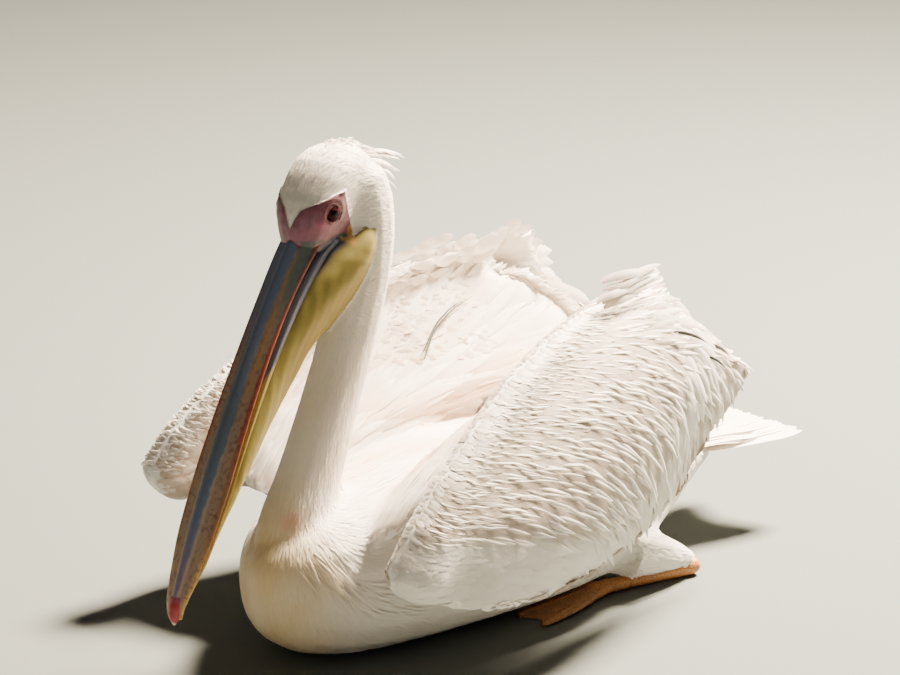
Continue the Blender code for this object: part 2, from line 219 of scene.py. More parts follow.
def add(tree, kind, links=None, stops=(), **settings):
    # Adds a node with its settings and links, and with the places and hex colours of a ramp's stops.
    node = tree.nodes.new(kind)
    for key, value in settings.items():
        setattr(node, key, value)
    plug(tree, node, links or {})
    if stops:
        elements = node.color_ramp.elements
        elements.remove(elements[1])
        elements[0].position = stops[0][0]
        elements[0].color = (*linear(stops[0][1]), 1)
        for place, colour in stops[1:]:
            elements.new(place).color = (*linear(colour), 1)
    return node


# a Mix node of colours has its inputs at 6 and 7, and its result at 2
blended = dict(data_type="RGBA")
multiplied = dict(data_type="RGBA", blend_type="MULTIPLY")


def featherMaterial():
    # feather keratin: matt with a faint silk sheen, darker and warmer with painted shade where it comes out
    # from under its neighbours;
    # thin enough to glow a little with the light behind it
    material, tree, shader = newMaterial("feather", Roughness=0.6, Sheen_Weight=0.2, Sheen_Roughness=0.4)
    paint = add(tree, "ShaderNodeAttribute", attribute_name="tint")
    vane = add(tree, "ShaderNodeUVMap", uv_map="VaneMap")
    axes = add(tree, "ShaderNodeSeparateXYZ", {0: (vane, 0)})
    # painted shade: darker and warmer at the root, where the neighbours overlap it; the tint's alpha sets how
    # much
    along = add(tree, "ShaderNodeValToRGB", {0: (axes, 1)},
                [(0.0, "#CDBAB0"), (0.5, "#F3EAE2"), (1.0, "#FFFFFF")])
    shaded = add(tree, "ShaderNodeMix", {0: (paint, "Alpha"), 6: "#FCFAF7", 7: (along, 0)}, **blended)
    colour = add(tree, "ShaderNodeMix", {0: 1.0, 6: (shaded, 2), 7: (paint, "Color")}, **multiplied)
    # barbs slant from the shaft to the tip; real ones are 0.4 mm apart, drawn four times coarser
    offset = add(tree, "ShaderNodeMath", {0: (axes, 0), 1: 0.5}, operation="SUBTRACT")
    out = add(tree, "ShaderNodeMath", {0: (offset, 0)}, operation="ABSOLUTE")
    slant = add(tree, "ShaderNodeMath", {0: (out, 0), 1: -0.6, 2: (axes, 1)}, operation="MULTIPLY_ADD")
    line = add(tree, "ShaderNodeMath", {0: (slant, 0), 1: 140.0}, operation="MULTIPLY")
    wave = add(tree, "ShaderNodeMath", {0: (line, 0)}, operation="SINE")
    place = add(tree, "ShaderNodeTexCoord")
    grain = add(tree, "ShaderNodeTexNoise", {"Vector": (place, "Object"), "Scale": 900.0, "Detail": 1.0})
    height = add(tree, "ShaderNodeMath", {0: (wave, 0), 1: 0.3, 2: (grain, 0)}, operation="MULTIPLY_ADD")
    relief = add(tree, "ShaderNodeBump", {"Strength": 0.18, "Distance": 0.0004, "Height": (height, 0)})
    plug(tree, shader, {"Base Color": (colour, 2), "Normal": (relief, 0)})
    glow = add(tree, "ShaderNodeBsdfTranslucent", {0: (colour, 2)})
    both = add(tree, "ShaderNodeMixShader", {0: 0.2, 1: (shader, 0), 2: (glow, 0)})
    plug(tree, tree.nodes["Material Output"], {0: (both, 0)})
    return material


def skinMaterial():
    # down and skin under the feathers; on the face and pouch bare, thin, finely creased skin
    material, tree, shader = newMaterial("skin", Roughness=0.6, Sheen_Weight=0.1)
    paint = add(tree, "ShaderNodeAttribute", attribute_name="tint")
    bare = add(tree, "ShaderNodeAttribute", attribute_name="bare")
    place = add(tree, "ShaderNodeTexCoord")
    fine = add(tree, "ShaderNodeTexNoise", {"Vector": (place, "Object"), "Scale": 520.0, "Detail": 4.0})
    pores = add(tree, "ShaderNodeTexVoronoi", {"Vector": (place, "Object"), "Scale": 800.0})
    blotch = add(tree, "ShaderNodeTexNoise", {"Vector": (place, "Object"), "Scale": 110.0, "Detail": 5.0})
    mottle = add(tree, "ShaderNodeValToRGB", {0: (blotch, 0)}, [(0.3, "#DCD2D2"), (0.62, "#FFFFFF")])
    patchy = add(tree, "ShaderNodeMix", {0: (bare, "Fac"), 6: "#FFFFFF", 7: (mottle, 0)}, **blended)
    colour = add(tree, "ShaderNodeMix", {0: 1.0, 6: (paint, "Color"), 7: (patchy, 2)}, **multiplied)
    rough = add(tree, "ShaderNodeMapRange", {0: (bare, "Fac"), 3: 0.75, 4: 0.46})
    both = add(tree, "ShaderNodeMath", {0: (pores, 0), 1: 0.5, 2: (fine, 0)}, operation="MULTIPLY_ADD")
    relief = add(tree, "ShaderNodeBump", {"Strength": 0.2, "Distance": 0.0006, "Height": (both, 0)})
    plug(tree, shader, {"Base Color": (colour, 2), "Roughness": (rough, 0), "Normal": (relief, 0)})
    return material


def hornMaterial():
    # horny sheath of the bill: keratin, worn to a satin shine, flecked and scratched lengthwise
    material, tree, shader = newMaterial("horn", Roughness=0.42, IOR=1.54)
    paint = add(tree, "ShaderNodeAttribute", attribute_name="tint")
    amount = add(tree, "ShaderNodeAttribute", attribute_name="fleck")
    own = add(tree, "ShaderNodeUVMap", uv_map="PieceMap")
    place = add(tree, "ShaderNodeTexCoord")
    long = add(tree, "ShaderNodeMapping", {0: (own, 0), 3: (60.0, 9.0, 1.0)})
    scratch = add(tree, "ShaderNodeTexNoise", {"Vector": (long, 0), "Scale": 5.0, "Detail": 5.0})
    fleck = add(tree, "ShaderNodeTexNoise", {"Vector": (place, "Object"), "Scale": 190.0, "Detail": 4.0})
    warm = add(tree, "ShaderNodeValToRGB", {0: (fleck, 0)},
               [(0.36, "#CDB6AE"), (0.48, "#F0E8E2"), (0.64, "#FFE9CC")])
    flecked = add(tree, "ShaderNodeMix", {0: (amount, "Fac"), 6: "#FFFFFF", 7: (warm, 0)}, **blended)
    streak = add(tree, "ShaderNodeValToRGB", {0: (scratch, 0)}, [(0.3, "#C4C2C4"), (0.62, "#FFFFFF")])
    colour = add(tree, "ShaderNodeMix", {0: 1.0, 6: (paint, "Color"), 7: (flecked, 2)}, **multiplied)
    worn = add(tree, "ShaderNodeMix", {0: 0.6, 6: (colour, 2), 7: (streak, 0)}, **multiplied)
    rough = add(tree, "ShaderNodeMapRange", {0: (scratch, 0), 3: 0.52, 4: 0.34})
    both = add(tree, "ShaderNodeMath", {0: (fleck, 0), 1: 0.5, 2: (scratch, 0)}, operation="MULTIPLY_ADD")
    relief = add(tree, "ShaderNodeBump", {"Strength": 0.3, "Distance": 0.0007, "Height": (both, 0)})
    plug(tree, shader, {"Base Color": (worn, 2), "Roughness": (rough, 0), "Normal": (relief, 0)})
    return material


def eyeMaterial():
    # wet eye: very dark maroon iris round a black pupil, under a clear cornea
    material, tree, shader = newMaterial("eye", Roughness=0.3, IOR=1.34, Specular_IOR_Level=0.06,
                                         Coat_Weight=0.03, Coat_Roughness=0.05)
    own = add(tree, "ShaderNodeUVMap", uv_map="PieceMap")
    axes = add(tree, "ShaderNodeSeparateXYZ", {0: (own, 0)})
    rings = add(tree, "ShaderNodeValToRGB", {0: (axes, 1)},
                [(0.0, "#040303"), (0.15, "#050303"), (0.17, "#2C0E12"), (0.26, "#240B0E"), (0.30, "#150807"),
                 (1.0, "#2A1414")])
    plug(tree, shader, {"Base Color": (rings, 0)})
    return material


def footMaterial():
    # scaly skin of legs and webs: small plates 3 mm across, dry and slightly waxy
    material, tree, shader = newMaterial("footSkin", Roughness=0.5)
    paint = add(tree, "ShaderNodeAttribute", attribute_name="tint")
    place = add(tree, "ShaderNodeTexCoord")
    plates = add(tree, "ShaderNodeTexVoronoi", {"Vector": (place, "Object"), "Scale": 330.0},
                 feature="DISTANCE_TO_EDGE")
    seams = add(tree, "ShaderNodeValToRGB", {0: (plates, 0)}, [(0.0, "#8F6A50"), (0.16, "#FFFFFF")])
    colour = add(tree, "ShaderNodeMix", {0: 0.7, 6: (paint, "Color"), 7: (seams, 0)}, **multiplied)
    relief = add(tree, "ShaderNodeBump", {"Strength": 0.5, "Distance": 0.0006, "Height": (plates, 0)})
    plug(tree, shader, {"Base Color": (colour, 2), "Normal": (relief, 0)})
    return material


feather = featherMaterial()
skinLook = skinMaterial()
horn = hornMaterial()

# markings, shared by skin and feathers
marks = tones(
    breast="#E3CB92",  # yellow-tan stain down the front of the breast
    back="#F2CDAC",  # painted warm shade: a peach glow deep between the back feathers
    blush="#EFAFA0",  # the black of hand feathers, also used for thin strips painted as shadow on the far wing
    quill="#3A3634",  # the black of hand feathers and bare shafts
    face="#845468", faceWarm="#8F4C60", faceDusk="#673C49", hot="#B5426A",  # bare skin of the face, and a darker tone painted on it as shade towards its back
    lid="#6A303C", eyeRing="#945865",
    gape="#D9A35C", tomium="#9C5037",  # the mouth's corner and its horny edge
    sheath="#4A5656", bar="#3E4256", barEdge="#5E4C60",  # grey horn of the bill's base and the jaw
    # the pouch's yellow; its deep olive, used as painted shade and for its streaks; its pale tip
    pouch="#8F8236", pouchDeep="#7B6B2A", pouchPale="#BA9C5B",
)
stains = dict(white=(1.0, 0.972, 0.930), breast=0.80, back=0.6, blush=0.7, blushPlace=(0.034, -0.282, 0.173),
              blushSize=(0.010, 0.012, 0.009))


def plumageTint(points):
    # Multiplies the white of the plumage.
    x, y, z = points.T
    front = ease(-y, 0.235, 0.30) * ease(0.27 - z, 0.0, 0.12) * (1 - ease(np.abs(x - 0.015), 0.045, 0.12))
    cloud = 0.85 + 0.15 * np.sin(x * 90 + 1.5 * np.sin(z * 40)) * np.sin(z * 52 + 2 * np.sin(x * 35))
    spot = np.sum(((points - stains["blushPlace"]) / stains["blushSize"]) ** 2, axis=1)
    # painted peach shade deep in the valley between the back and the wings, laid in soft folds
    valley = ease(0.205 - np.abs(x), 0.0, 0.05) * ease(z, 0.16, 0.19) * ease(0.34 - z, 0, 0.10)
    valley *= ease(y, -0.26, -0.18) * ease(0.17 - y, 0, 0.16)
    folds = 0.5 + 0.5 * np.sin(x * 75 - z * 60 + 1.5 * np.sin(y * 30))
    return layered(
        np.ones_like(points) * stains["white"],
        (marks["breast"], stains["breast"] * front * cloud),
        (marks["blush"], stains["blush"] * np.exp(-spot)),
        (marks["back"], stains["back"] * valley * folds**2),
    )


# both wings seen from the side: the leading edge's tilt in degrees and the wrist's y and z; then how the
# feathers dip from it in degrees, and how much less they do at the elbow and low on the wing; and the
# shade under the loose feathers and towards the wrist's inner face
wing = dict(tilt=29.7, start=(-0.262, 0.146), dip=15.0, turn=270.0, elbowLess=30, lowLess=20,
            under=np.array([0.64, 0.565, 0.50]), lining=np.array([0.84, 0.77, 0.71]))


def wingPlace(points):
    # Along the leading edge from the wrist, and square to it towards the rear rim, in metres.
    tilt = math.radians(wing["tilt"])
    y = points[:, 1] - wing["start"][0]
    z = points[:, 2] - wing["start"][1]
    return y * math.cos(tilt) + z * math.sin(tilt), y * math.sin(tilt) - z * math.cos(tilt)


# the one skin
skinShape = dict(bodyVoxel=0.0048, headVoxel=0.0016, grow=0.0006, tucked=0.006,
                 coatRounds=30, creaseRounds=40, pouchRounds=70, cheekRounds=90)
bodyNodes = ["trunk", "neck_lower", "neck_upper", "head"]
for side in sides:
    bodyNodes += [f"forewing_{side}", f"wing_{side}", f"shoulder_{side}", f"shank_{side}"]
headNodes = ["head", "neck_upper", "pouch"]
# how deep the skin lies under each solid's face, to leave room for its coat
coatDepth = dict(trunk=0.0050, neck=0.0024, head=0.0021, forewing=0.0030, wing=0.0030, shoulder=0.0045,
                 shank=0.0030)


class Shell:
    # A skin surface as arrays, with what a feather needs to know of it.

    def __init__(self, points, quads, labels):
        self.points, self.quads, self.labels = points, quads, labels
        self.tree = BVHTree.FromPolygons(points.tolist(), quads.tolist())
        corners = points[quads]
        across = np.cross(corners[:, 2] - corners[:, 0], corners[:, 3] - corners[:, 1])
        self.area = np.linalg.norm(across, axis=1) / 2
        self.facing = unit(across)
        self.centres = corners.mean(1)

    def nearest(self, points):
        found = [self.tree.find_nearest(p) for p in points.tolist()]
        return np.array([f[0] for f in found]), np.array([f[1] for f in found])

    def sprinkle(self, mask, perSquareMetre):
        # Random places on the chosen faces.
        index = np.where(mask)[0]
        count = int(self.area[index].sum() * perSquareMetre)
        chosen = chance.choice(index, count, p=self.area[index] / self.area[index].sum())
        u, v = chance.random((2, count, 1))
        a, b, c, d = (self.points[self.quads[chosen, k]] for k in range(4))
        return mix(mix(a, b, u), mix(d, c, u), v), self.facing[chosen]


def remeshed(nodes, voxel, smoothing):
    # One closed surface round several CAD solids, evenly meshed and relaxed: places, normals and faces.
    bm = bmesh.new()
    for node in nodes:
        part = bmesh.new()
        part.from_mesh(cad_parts[node].data)
        bmesh.ops.remove_doubles(part, verts=part.verts, dist=0.00002)
        part.normal_update()
        for v in part.verts:
            v.co += v.normal * skinShape["grow"]
        copy = meshFrom(part, "copy")
        bm.from_mesh(copy)
        bpy.data.meshes.remove(copy)
    holder = addObject("shell", meshFrom(bm, "shell"))
    remesh = holder.modifiers.new("Remesh", "REMESH")
    remesh.mode = "VOXEL"
    remesh.voxel_size = voxel
    relax = holder.modifiers.new("Relax", "SMOOTH")
    relax.iterations = smoothing
    relax.factor = 0.5
    mesh = bpy.data.meshes.new_from_object(holder.evaluated_get(bpy.context.evaluated_depsgraph_get()))
    bpy.data.objects.remove(holder)
    surface = ofVertices(mesh), ofVertices(mesh, "normal"), np.array([p.vertices[:] for p in mesh.polygons])
    bpy.data.meshes.remove(mesh)
    return surface


def nodeTree(node):
    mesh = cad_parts[node].data
    mesh.calc_loop_triangles()
    triangles = [triangle.vertices[:] for triangle in mesh.loop_triangles]
    return BVHTree.FromPolygons([v.co[:] for v in mesh.vertices], triangles)


def labelled(points, nodes):
    # The CAD node nearest to each point, and the distances to all the nodes, up to 30 mm.
    trees = [nodeTree(node) for node in nodes]
    away = np.array([[tree.find_nearest(p, 0.03)[3] or 0.03 for p in points.tolist()] for tree in trees])
    return np.array(nodes)[np.argmin(away, axis=0)], away


def relaxed(values, quads, share, rounds):
    # Smooths values on a mesh's points: each one moves towards the middle of its neighbours.
    edges = np.vstack([quads[:, [k, (k + 1) % 4]] for k in range(4)])
    count = np.bincount(edges[:, 0], minlength=len(values)).astype(float)
    for _ in range(rounds):
        total = [np.bincount(edges[:, 0], column[edges[:, 1]], len(values)) for column in values.T]
        values = mix(values, np.stack(total, 1) / np.maximum(count, 1)[:, None], 0.5 * share[:, None])
    return values


def depthOf(labels):
    return np.array([coatDepth[label.split("_")[0]] for label in labels])


# bare face: the crown's feathers end in a point on the forehead, and widen backwards over the eyes
face = dict(
    back=(0.0090, 0.0210, 0.0306, 0.0390, 0.0458, 0.0522, 0.0598, 0.0690),
    wide=(0.0000, 0.0050, 0.0105, 0.0215, 0.0289, 0.0333, 0.0367, 0.0390),
    high=(0.0092, 0.0125, 0.0138, 0.0105, 0.0056, 0.0000, -0.0070, -0.0155),
    cheekUp=(-0.0562, -0.0518, -0.0395, -0.0308, -0.0209, -0.0130),
    cheekBack=(0.0320, 0.0385, 0.0450, 0.0525, 0.0605, 0.0690),
)


def faceShare(points):
    across, back, up = toHead(points).T
    brow = np.abs(across) - np.interp(back, face["back"], face["wide"])
    brow = brow + np.interp(back, face["back"], face["high"]) - up
    cheek = np.interp(up, face["cheekUp"], face["cheekBack"]) - back
    return ease(np.minimum(0.7 * brow, cheek), -0.0006, 0.0006)


def pouchShare(points, away):
    # The pouch's bare skin, cut off at its upper corner by the cheek's feathers.
    back, up = toHead(points).T[1:]
    own = ease(np.minimum(away[0], away[1]) - away[2], -0.0008, 0.0008)
    corner = np.interp(back, (0.0, 0.0200, 0.0232, 0.0275, 0.0340, 0.0407, 0.0436, 0.0450, 0.0480),
                       (0.05, -0.030, -0.0500, -0.0540, -0.0570, -0.0605, -0.0640, -0.074, -0.112))
    return own * (1 - ease(up - corner, -0.0006, 0.0006))


eye = dict(radius=0.0094, opening=0.0073, sunk=0.0014, rings=44)
# the eyes look out sideways, a little forwards and up
gaze = {side: unit(headAxes.T @ (0.93 * sign, 0.30, 0.10)) for side, sign in sides.items()}
eyeCentres = {side: np.array(centreOf(f"eye_{side}")) - gaze[side] * eye["sunk"] for side in sides}
eyeUps = {side: unit(headAxes[2] - (headAxes[2] @ gaze[side]) * gaze[side]) for side in sides}


def eyeDistance(points, side):
    # Distance from the eye's axis, and along it outwards.
    away = points - eyeCentres[side]
    depth = away @ gaze[side]
    return np.linalg.norm(away - depth[:, None] * gaze[side], axis=1), depth


def shapeFace(points, normals, pouch):
    # Sinks the eye sockets, swells the skin round them, and folds the pouch finely.
    moved = points.copy()
    for side in sides:
        radius, depth = eyeDistance(points, side)
        near = depth > -0.012
        socket = -0.0060 * (1 - ease(radius, eye["opening"] - 0.0002, eye["opening"] + 0.0022))
        swell = 0.0008 * bump(radius, 0.0145, 0.0035)
        moved += normals * ((socket + swell) * near)[:, None]
    back, up = toHead(points).T[1:]
    lengthwise = np.sin(up * 560 - back * 45 + 1.2 * np.sin(back * 60)) * ease(-back, -0.01, 0.05)
    lengthwise *= ease(0.36 + back, 0, 0.1)
    crosswise = np.sin(back * 420 + up * 90) * bump(up, -0.09, 0.03) * ease(0.03 + back, 0, 0.03) * 0.5
    return moved + normals * (0.00018 * (lengthwise + crosswise) * pouch)[:, None]


# where the bare face ends and the horn begins, and the mouth's corner: back from the base, then up
hornEdge = ((-0.010, 0.0, 0.0019, 0.0049, 0.010, 0.0159, 0.0230, 0.0285, 0.0310),
            (0.003, 0.0010, -0.0027, -0.0091, -0.0172, -0.0230, -0.0345, -0.0480, -0.0555))
mouthEdge = ((0.0, 0.0063, 0.0159, 0.0230, 0.0285, 0.0310),
             (-0.012, -0.0165, -0.0243, -0.0363, -0.0500, -0.0575))
barEdge = ((-0.160, -0.120, -0.085, -0.0348, 0.0018, 0.0172, 0.0285),
           (0.010, -0.0130, -0.0215, -0.0290, -0.0415, -0.0500, -0.0560))


def headTint(points, pouch, bare, away):
    across, back, up = toHead(points).T
    warm = 0.5 + 0.5 * np.sin(back * 170 + up * 230)
    # the face's skin, with painted shade darkening it towards the back
    skinTone = layered(marks["face"], (marks["faceWarm"], 0.55 * warm),
                       (marks["faceDusk"], 0.75 * ease(back, 0.020, 0.050)))
    for side, sign in sides.items():
        radius, depth = eyeDistance(points, side)
        ring = bump(radius, 0.0110, 0.0045) * (depth > -0.012)
        spot = np.linalg.norm(toHead(points) - (0.030 * sign, 0.0245, -0.0045), axis=1)
        skinTone = layered(skinTone, (marks["eyeRing"], 0.45 * ring),
                           (marks["hot"], 0.5 * bump(spot, 0, 0.0065)))
    low = np.interp(back, *hornEdge) - up
    mouth = np.interp(back, *mouthEdge) - up
    skinTone = layered(
        skinTone,
        (marks["sheath"], ease(low, -0.0005, 0.0005) * (np.abs(across) > 0.012)),
        (marks["bar"], ease(mouth, -0.0005, 0.0005) * ease(0.0215 - back, 0, 0.0020)),
        (marks["tomium"], 0.85 * bump(mouth, 0.0, 0.0011) * (low > -0.001)),
        (marks["gape"], ease(back, 0.0205, 0.0235) * ease(-up, 0.0500, 0.0525)),
    )

    # painted shade, deep olive, in the rear fold, under the throat and along the seam with the neck's
    # feathers; pale towards the tip, finely streaked lengthwise
    deep = ease(-up, 0.075, 0.125) * ease(0.14 + back, 0, 0.10)
    line = 0.5 + 0.5 * np.sin(up * 420 - back * 40)
    neckSeamShade = ease(0.0060 - np.minimum(away[0], away[1]), 0, 0.0060) * ease(-up, 0.06, 0.08)
    over = up - np.interp(back, *barEdge)
    barred = ease(0.15 + back, 0, 0.03) * ease(0.0205 - back, 0, 0.004)
    bag = layered(
        marks["pouch"],
        (marks["pouchDeep"], 0.40 * deep + 0.10 * line),
        (marks["pouchPale"], 0.8 * ease(-back, 0.20, 0.36)),
        (marks["pouchDeep"], 0.8 * neckSeamShade),
        (marks["gape"], 0.6 * ease(back, 0.014, 0.020) * ease(up, -0.059, -0.053)),
        (marks["barEdge"], 0.6 * bump(over, 0.0, 0.0016) * barred),
        (marks["bar"], ease(over, 0.0002, 0.0016) * barred),
    )
    return layered(plumageTint(points) * 0.95, (skinTone, bare), (bag, pouch))


def makeSkin():
    bodyPoints, bodyNormals, bodyQuads = remeshed(bodyNodes, skinShape["bodyVoxel"], 4)
    bodyLabels, fromNodes = labelled(bodyPoints, bodyNodes)
    everywhere = np.ones(len(bodyPoints))
    bodyDepth = relaxed(depthOf(bodyLabels)[:, None], bodyQuads, everywhere, skinShape["coatRounds"])
    bodyPoints = bodyPoints - bodyNormals * (bodyDepth + skinShape["grow"])
    # the crease between the wing's rolled leading edge and its flat side is filled with feathers
    for side in sides:
        seam = np.maximum(*[fromNodes[bodyNodes.index(f"{part}_{side}")] for part in ("forewing", "wing")])
        bodyPoints = relaxed(bodyPoints, bodyQuads, 1 - ease(seam, 0.006, 0.016), skinShape["creaseRounds"])
    # the coarse shell stays inside the fine one at the head
    covered = (bodyLabels == "head") | ((bodyLabels == "neck_upper") & (bodyPoints[:, 2] > 0.40))
    bodyPoints = bodyPoints - bodyNormals * (skinShape["tucked"] * covered)[:, None]

    points, normals, quads = remeshed(headNodes, skinShape["headVoxel"], 5)
    labels, away = labelled(points, headNodes)
    pouch = pouchShare(points, away)
    bare = faceShare(points) * (away[0] < away[1] + 0.002) * (1 - pouch)
    depth = np.where(away[0] < away[1], coatDepth["head"], coatDepth["neck"])
    points = points - normals * (mix(depth, 0.0002, np.maximum(bare, pouch)) + skinShape["grow"])[:, None]
    # the pouch is drawn smooth, apart from its tip, and so is the feathered seam of head and neck
    slack = ease(pouch, 0.0, 1.0) * ease(0.34 + toHead(points)[:, 1], 0, 0.06)
    points = relaxed(points, quads, slack, skinShape["pouchRounds"])
    seam = (1 - ease(np.maximum(away[0], away[1]), 0.006, 0.015)) * (1 - np.maximum(bare, pouch))
    points = relaxed(points, quads, seam, skinShape["cheekRounds"])
    tint = headTint(points, pouch, bare, away)
    points = shapeFace(points, normals, pouch)
    # low on the neck the fine shell sinks under the coarse one
    low = ease(0.36 - points[:, 2], 0, 0.03) * (labels == "neck_upper")
    points = points - normals * (0.003 * low)[:, None]

    lidPoints, lidQuads, lidTint = makeLids(BVHTree.FromPolygons(points.tolist(), quads.tolist()))
    counts = len(bodyPoints), len(points)
    mesh = meshOf("skin", np.vstack([bodyPoints, points, lidPoints]),
                  np.vstack([bodyQuads, quads + counts[0], lidQuads + sum(counts)]))
    setPaint(mesh, "tint", np.vstack([plumageTint(bodyPoints) * 0.9, tint, lidTint]))
    bareness = np.concatenate([np.zeros(counts[0]), bare + 0.35 * pouch, np.ones(len(lidPoints))])
    setPaint(mesh, "bare", bareness)
    addPiece("skin", mesh, skinLook, sorted(set(bodyNodes + headNodes)))
    print("skin:", len(mesh.polygons), "faces")
    return Shell(bodyPoints, bodyQuads, bodyLabels), Shell(points, quads, labels), np.maximum(bare, pouch)


# the lids' folds: distance out from the edge, height over the skin, height over the eyeball
lidFolds = ((-0.0006, 0.0000, -0.0006), (0.0000, 0.0000, 0.0002), (0.0005, 0.0003, 0.0006),
            (0.0012, 0.0004, 0.0007), (0.0020, 0.0003, 0.0005), (0.0028, 0.0001, 0.0002),
            (0.0037, 0.0003, -0.001), (0.0046, 0.0001, -0.002), (0.0060, -0.0010, -0.003))


def makeLids(tree):
    # Eyelids: a ring of soft folds from the eyeball's surface out into the skin of the face.
    count = eye["rings"]
    turn = np.linspace(0, 2 * np.pi, count, endpoint=False)
    # a slightly pointed oval, longest from front to back
    edge = eye["opening"] * (1.04 + 0.09 * np.cos(2 * turn))
    points = []
    for side, sign in sides.items():
        centre, outward, upward = eyeCentres[side], gaze[side], eyeUps[side]
        backward = np.cross(upward, outward) * sign
        spokes = np.outer(np.cos(turn), backward) + np.outer(np.sin(turn), upward)
        for out, overSkin, overBall in lidFolds:
            for spoke, radius in zip(spokes, edge + out):
                place = centre + spoke * radius
                hit = tree.ray_cast((place + outward * 0.03).tolist(), (-outward).tolist())[0]
                skinHeight = (np.array(hit) - centre) @ outward if hit else 0.005
                low = math.sqrt(max(eye["radius"] ** 2 - radius**2, 0)) + overBall
                height = mix(low, max(skinHeight + overSkin, low - 0.002), ease(out, 0.0002, 0.0030))
                points.append(place + outward * height)
    # each face joins two neighbours of a ring to the next ring; the right eye's are turned round
    k = np.arange(count * (len(lidFolds) - 1))
    beside = k - k % count + (k + 1) % count
    quads = np.stack([k, beside, beside + count, k + count], 1)
    quads = np.vstack([quads, quads[:, ::-1] + count * len(lidFolds)])
    share = np.tile(np.repeat(np.linspace(0, 1, len(lidFolds)), count), 2)
    # the lid's colour, the pale ring round it, and at the outer folds the face's painted shade
    tint = layered(marks["lid"], (marks["eyeRing"], ease(share, 0.1, 0.4)),
                   (marks["faceDusk"], 0.8 * ease(share, 0.5, 0.9)))
    return np.array(points), quads, tint


def makeEyes():
    look = eyeMaterial()
    for side in sides:
        outward, upward = gaze[side], eyeUps[side]
        onward = np.cross(outward, upward)

        def ball(turn, run):
            angle, tilt = turn * 2 * np.pi, run * np.pi
            bulge = 1 + 0.05 * np.exp(-((run / 0.16) ** 2))
            ring = np.cos(angle)[:, None] * onward + np.sin(angle)[:, None] * upward
            spot = np.sin(tilt)[:, None] * ring + np.cos(tilt)[:, None] * outward
            return eyeCentres[side] + spot * (eye["radius"] * bulge)[:, None]

        addPiece(f"{side}Eye", sleeve(f"{side}Eye", 32, 24, ball), look, [f"eye_{side}"])


body, headShell, headBare = makeSkin()
makeEyes()

# bill
bill = dict(start=-0.022, end=0.985, half=0.0245, arch=0.015, drift=0.0045, jawStart=-0.026, jawEnd=0.95)
billWidth = curve((0, 0.15, 0.3, 0.5, 0.63, 0.78, 0.9, 0.945, 0.99),
                  (1.06, 0.93, 0.92, 1.01, 1.07, 0.98, 0.70, 0.55, 0.36))
billPaint = tones(
    ridge="#606D8B", ridgeMiddle="#566374", ridgeTip="#796884",
    base="#707B77", flank="#A59081", orange="#BC8C5C",
    dark="#78403A", red="#AA4A36", edge="#A47858", pale="#DAB97C",  # the cutting edge, from base to tip
    nail="#A3242F", nailTip="#F3E7CD",
)


def billLine(share):
    # Half width, ridge height over the head's axes, and how far the edges lie under the ridge.
    over = np.clip(share, 0, 1)
    half = bill["half"] * billWidth(over) + 0.08 * np.maximum(-share, 0)
    top = bill["arch"] * np.sin(np.pi * over) ** 0.85 - 0.006 * np.clip((share - 0.93) / 0.055, 0, 1) ** 2
    rise = 0.0088 + 0.008 * np.exp(-over / 0.12) - 0.0045 * np.maximum(over - 0.65, 0) / 0.35
    return half, top - 0.06 * np.maximum(-share, 0), rise


def placeOnBill(across, share, height):
    shift = -bill["drift"] * np.maximum(share, 0) ** 3
    return fromHead(np.stack([across + shift, -share * head["billLength"], height], 1))


def upperBill(turn, run):
    share = mix(bill["start"], bill["end"], run)
    half, top, rise = billLine(share)
    angle = turn * 2 * np.pi
    a, b = np.cos(angle), np.sin(angle)
    t = np.abs(a)
    crest = 0.45 + 0.55 * np.exp(-((t / 0.5) ** 2))
    # a rounded ridge between two grooves, and a thickened cutting edge
    detail = 0.0016 * bump(t, 0, 0.20) - 0.0011 * bump(t, 0.37, 0.06) + 0.0006 * bump(t, 0.93, 0.05)
    over = rise * b * crest + detail * np.sqrt(np.clip(b, 0, 1)) * (1 - 0.6 * share)
    height = top - rise + np.where(b > 0, over, 0.0035 * b)
    cap = np.sqrt(np.clip(np.minimum(run / 0.012, (1 - run) / 0.006), 0, 1))
    return placeOnBill(a * half * cap, share, mix(top - rise, height, cap))


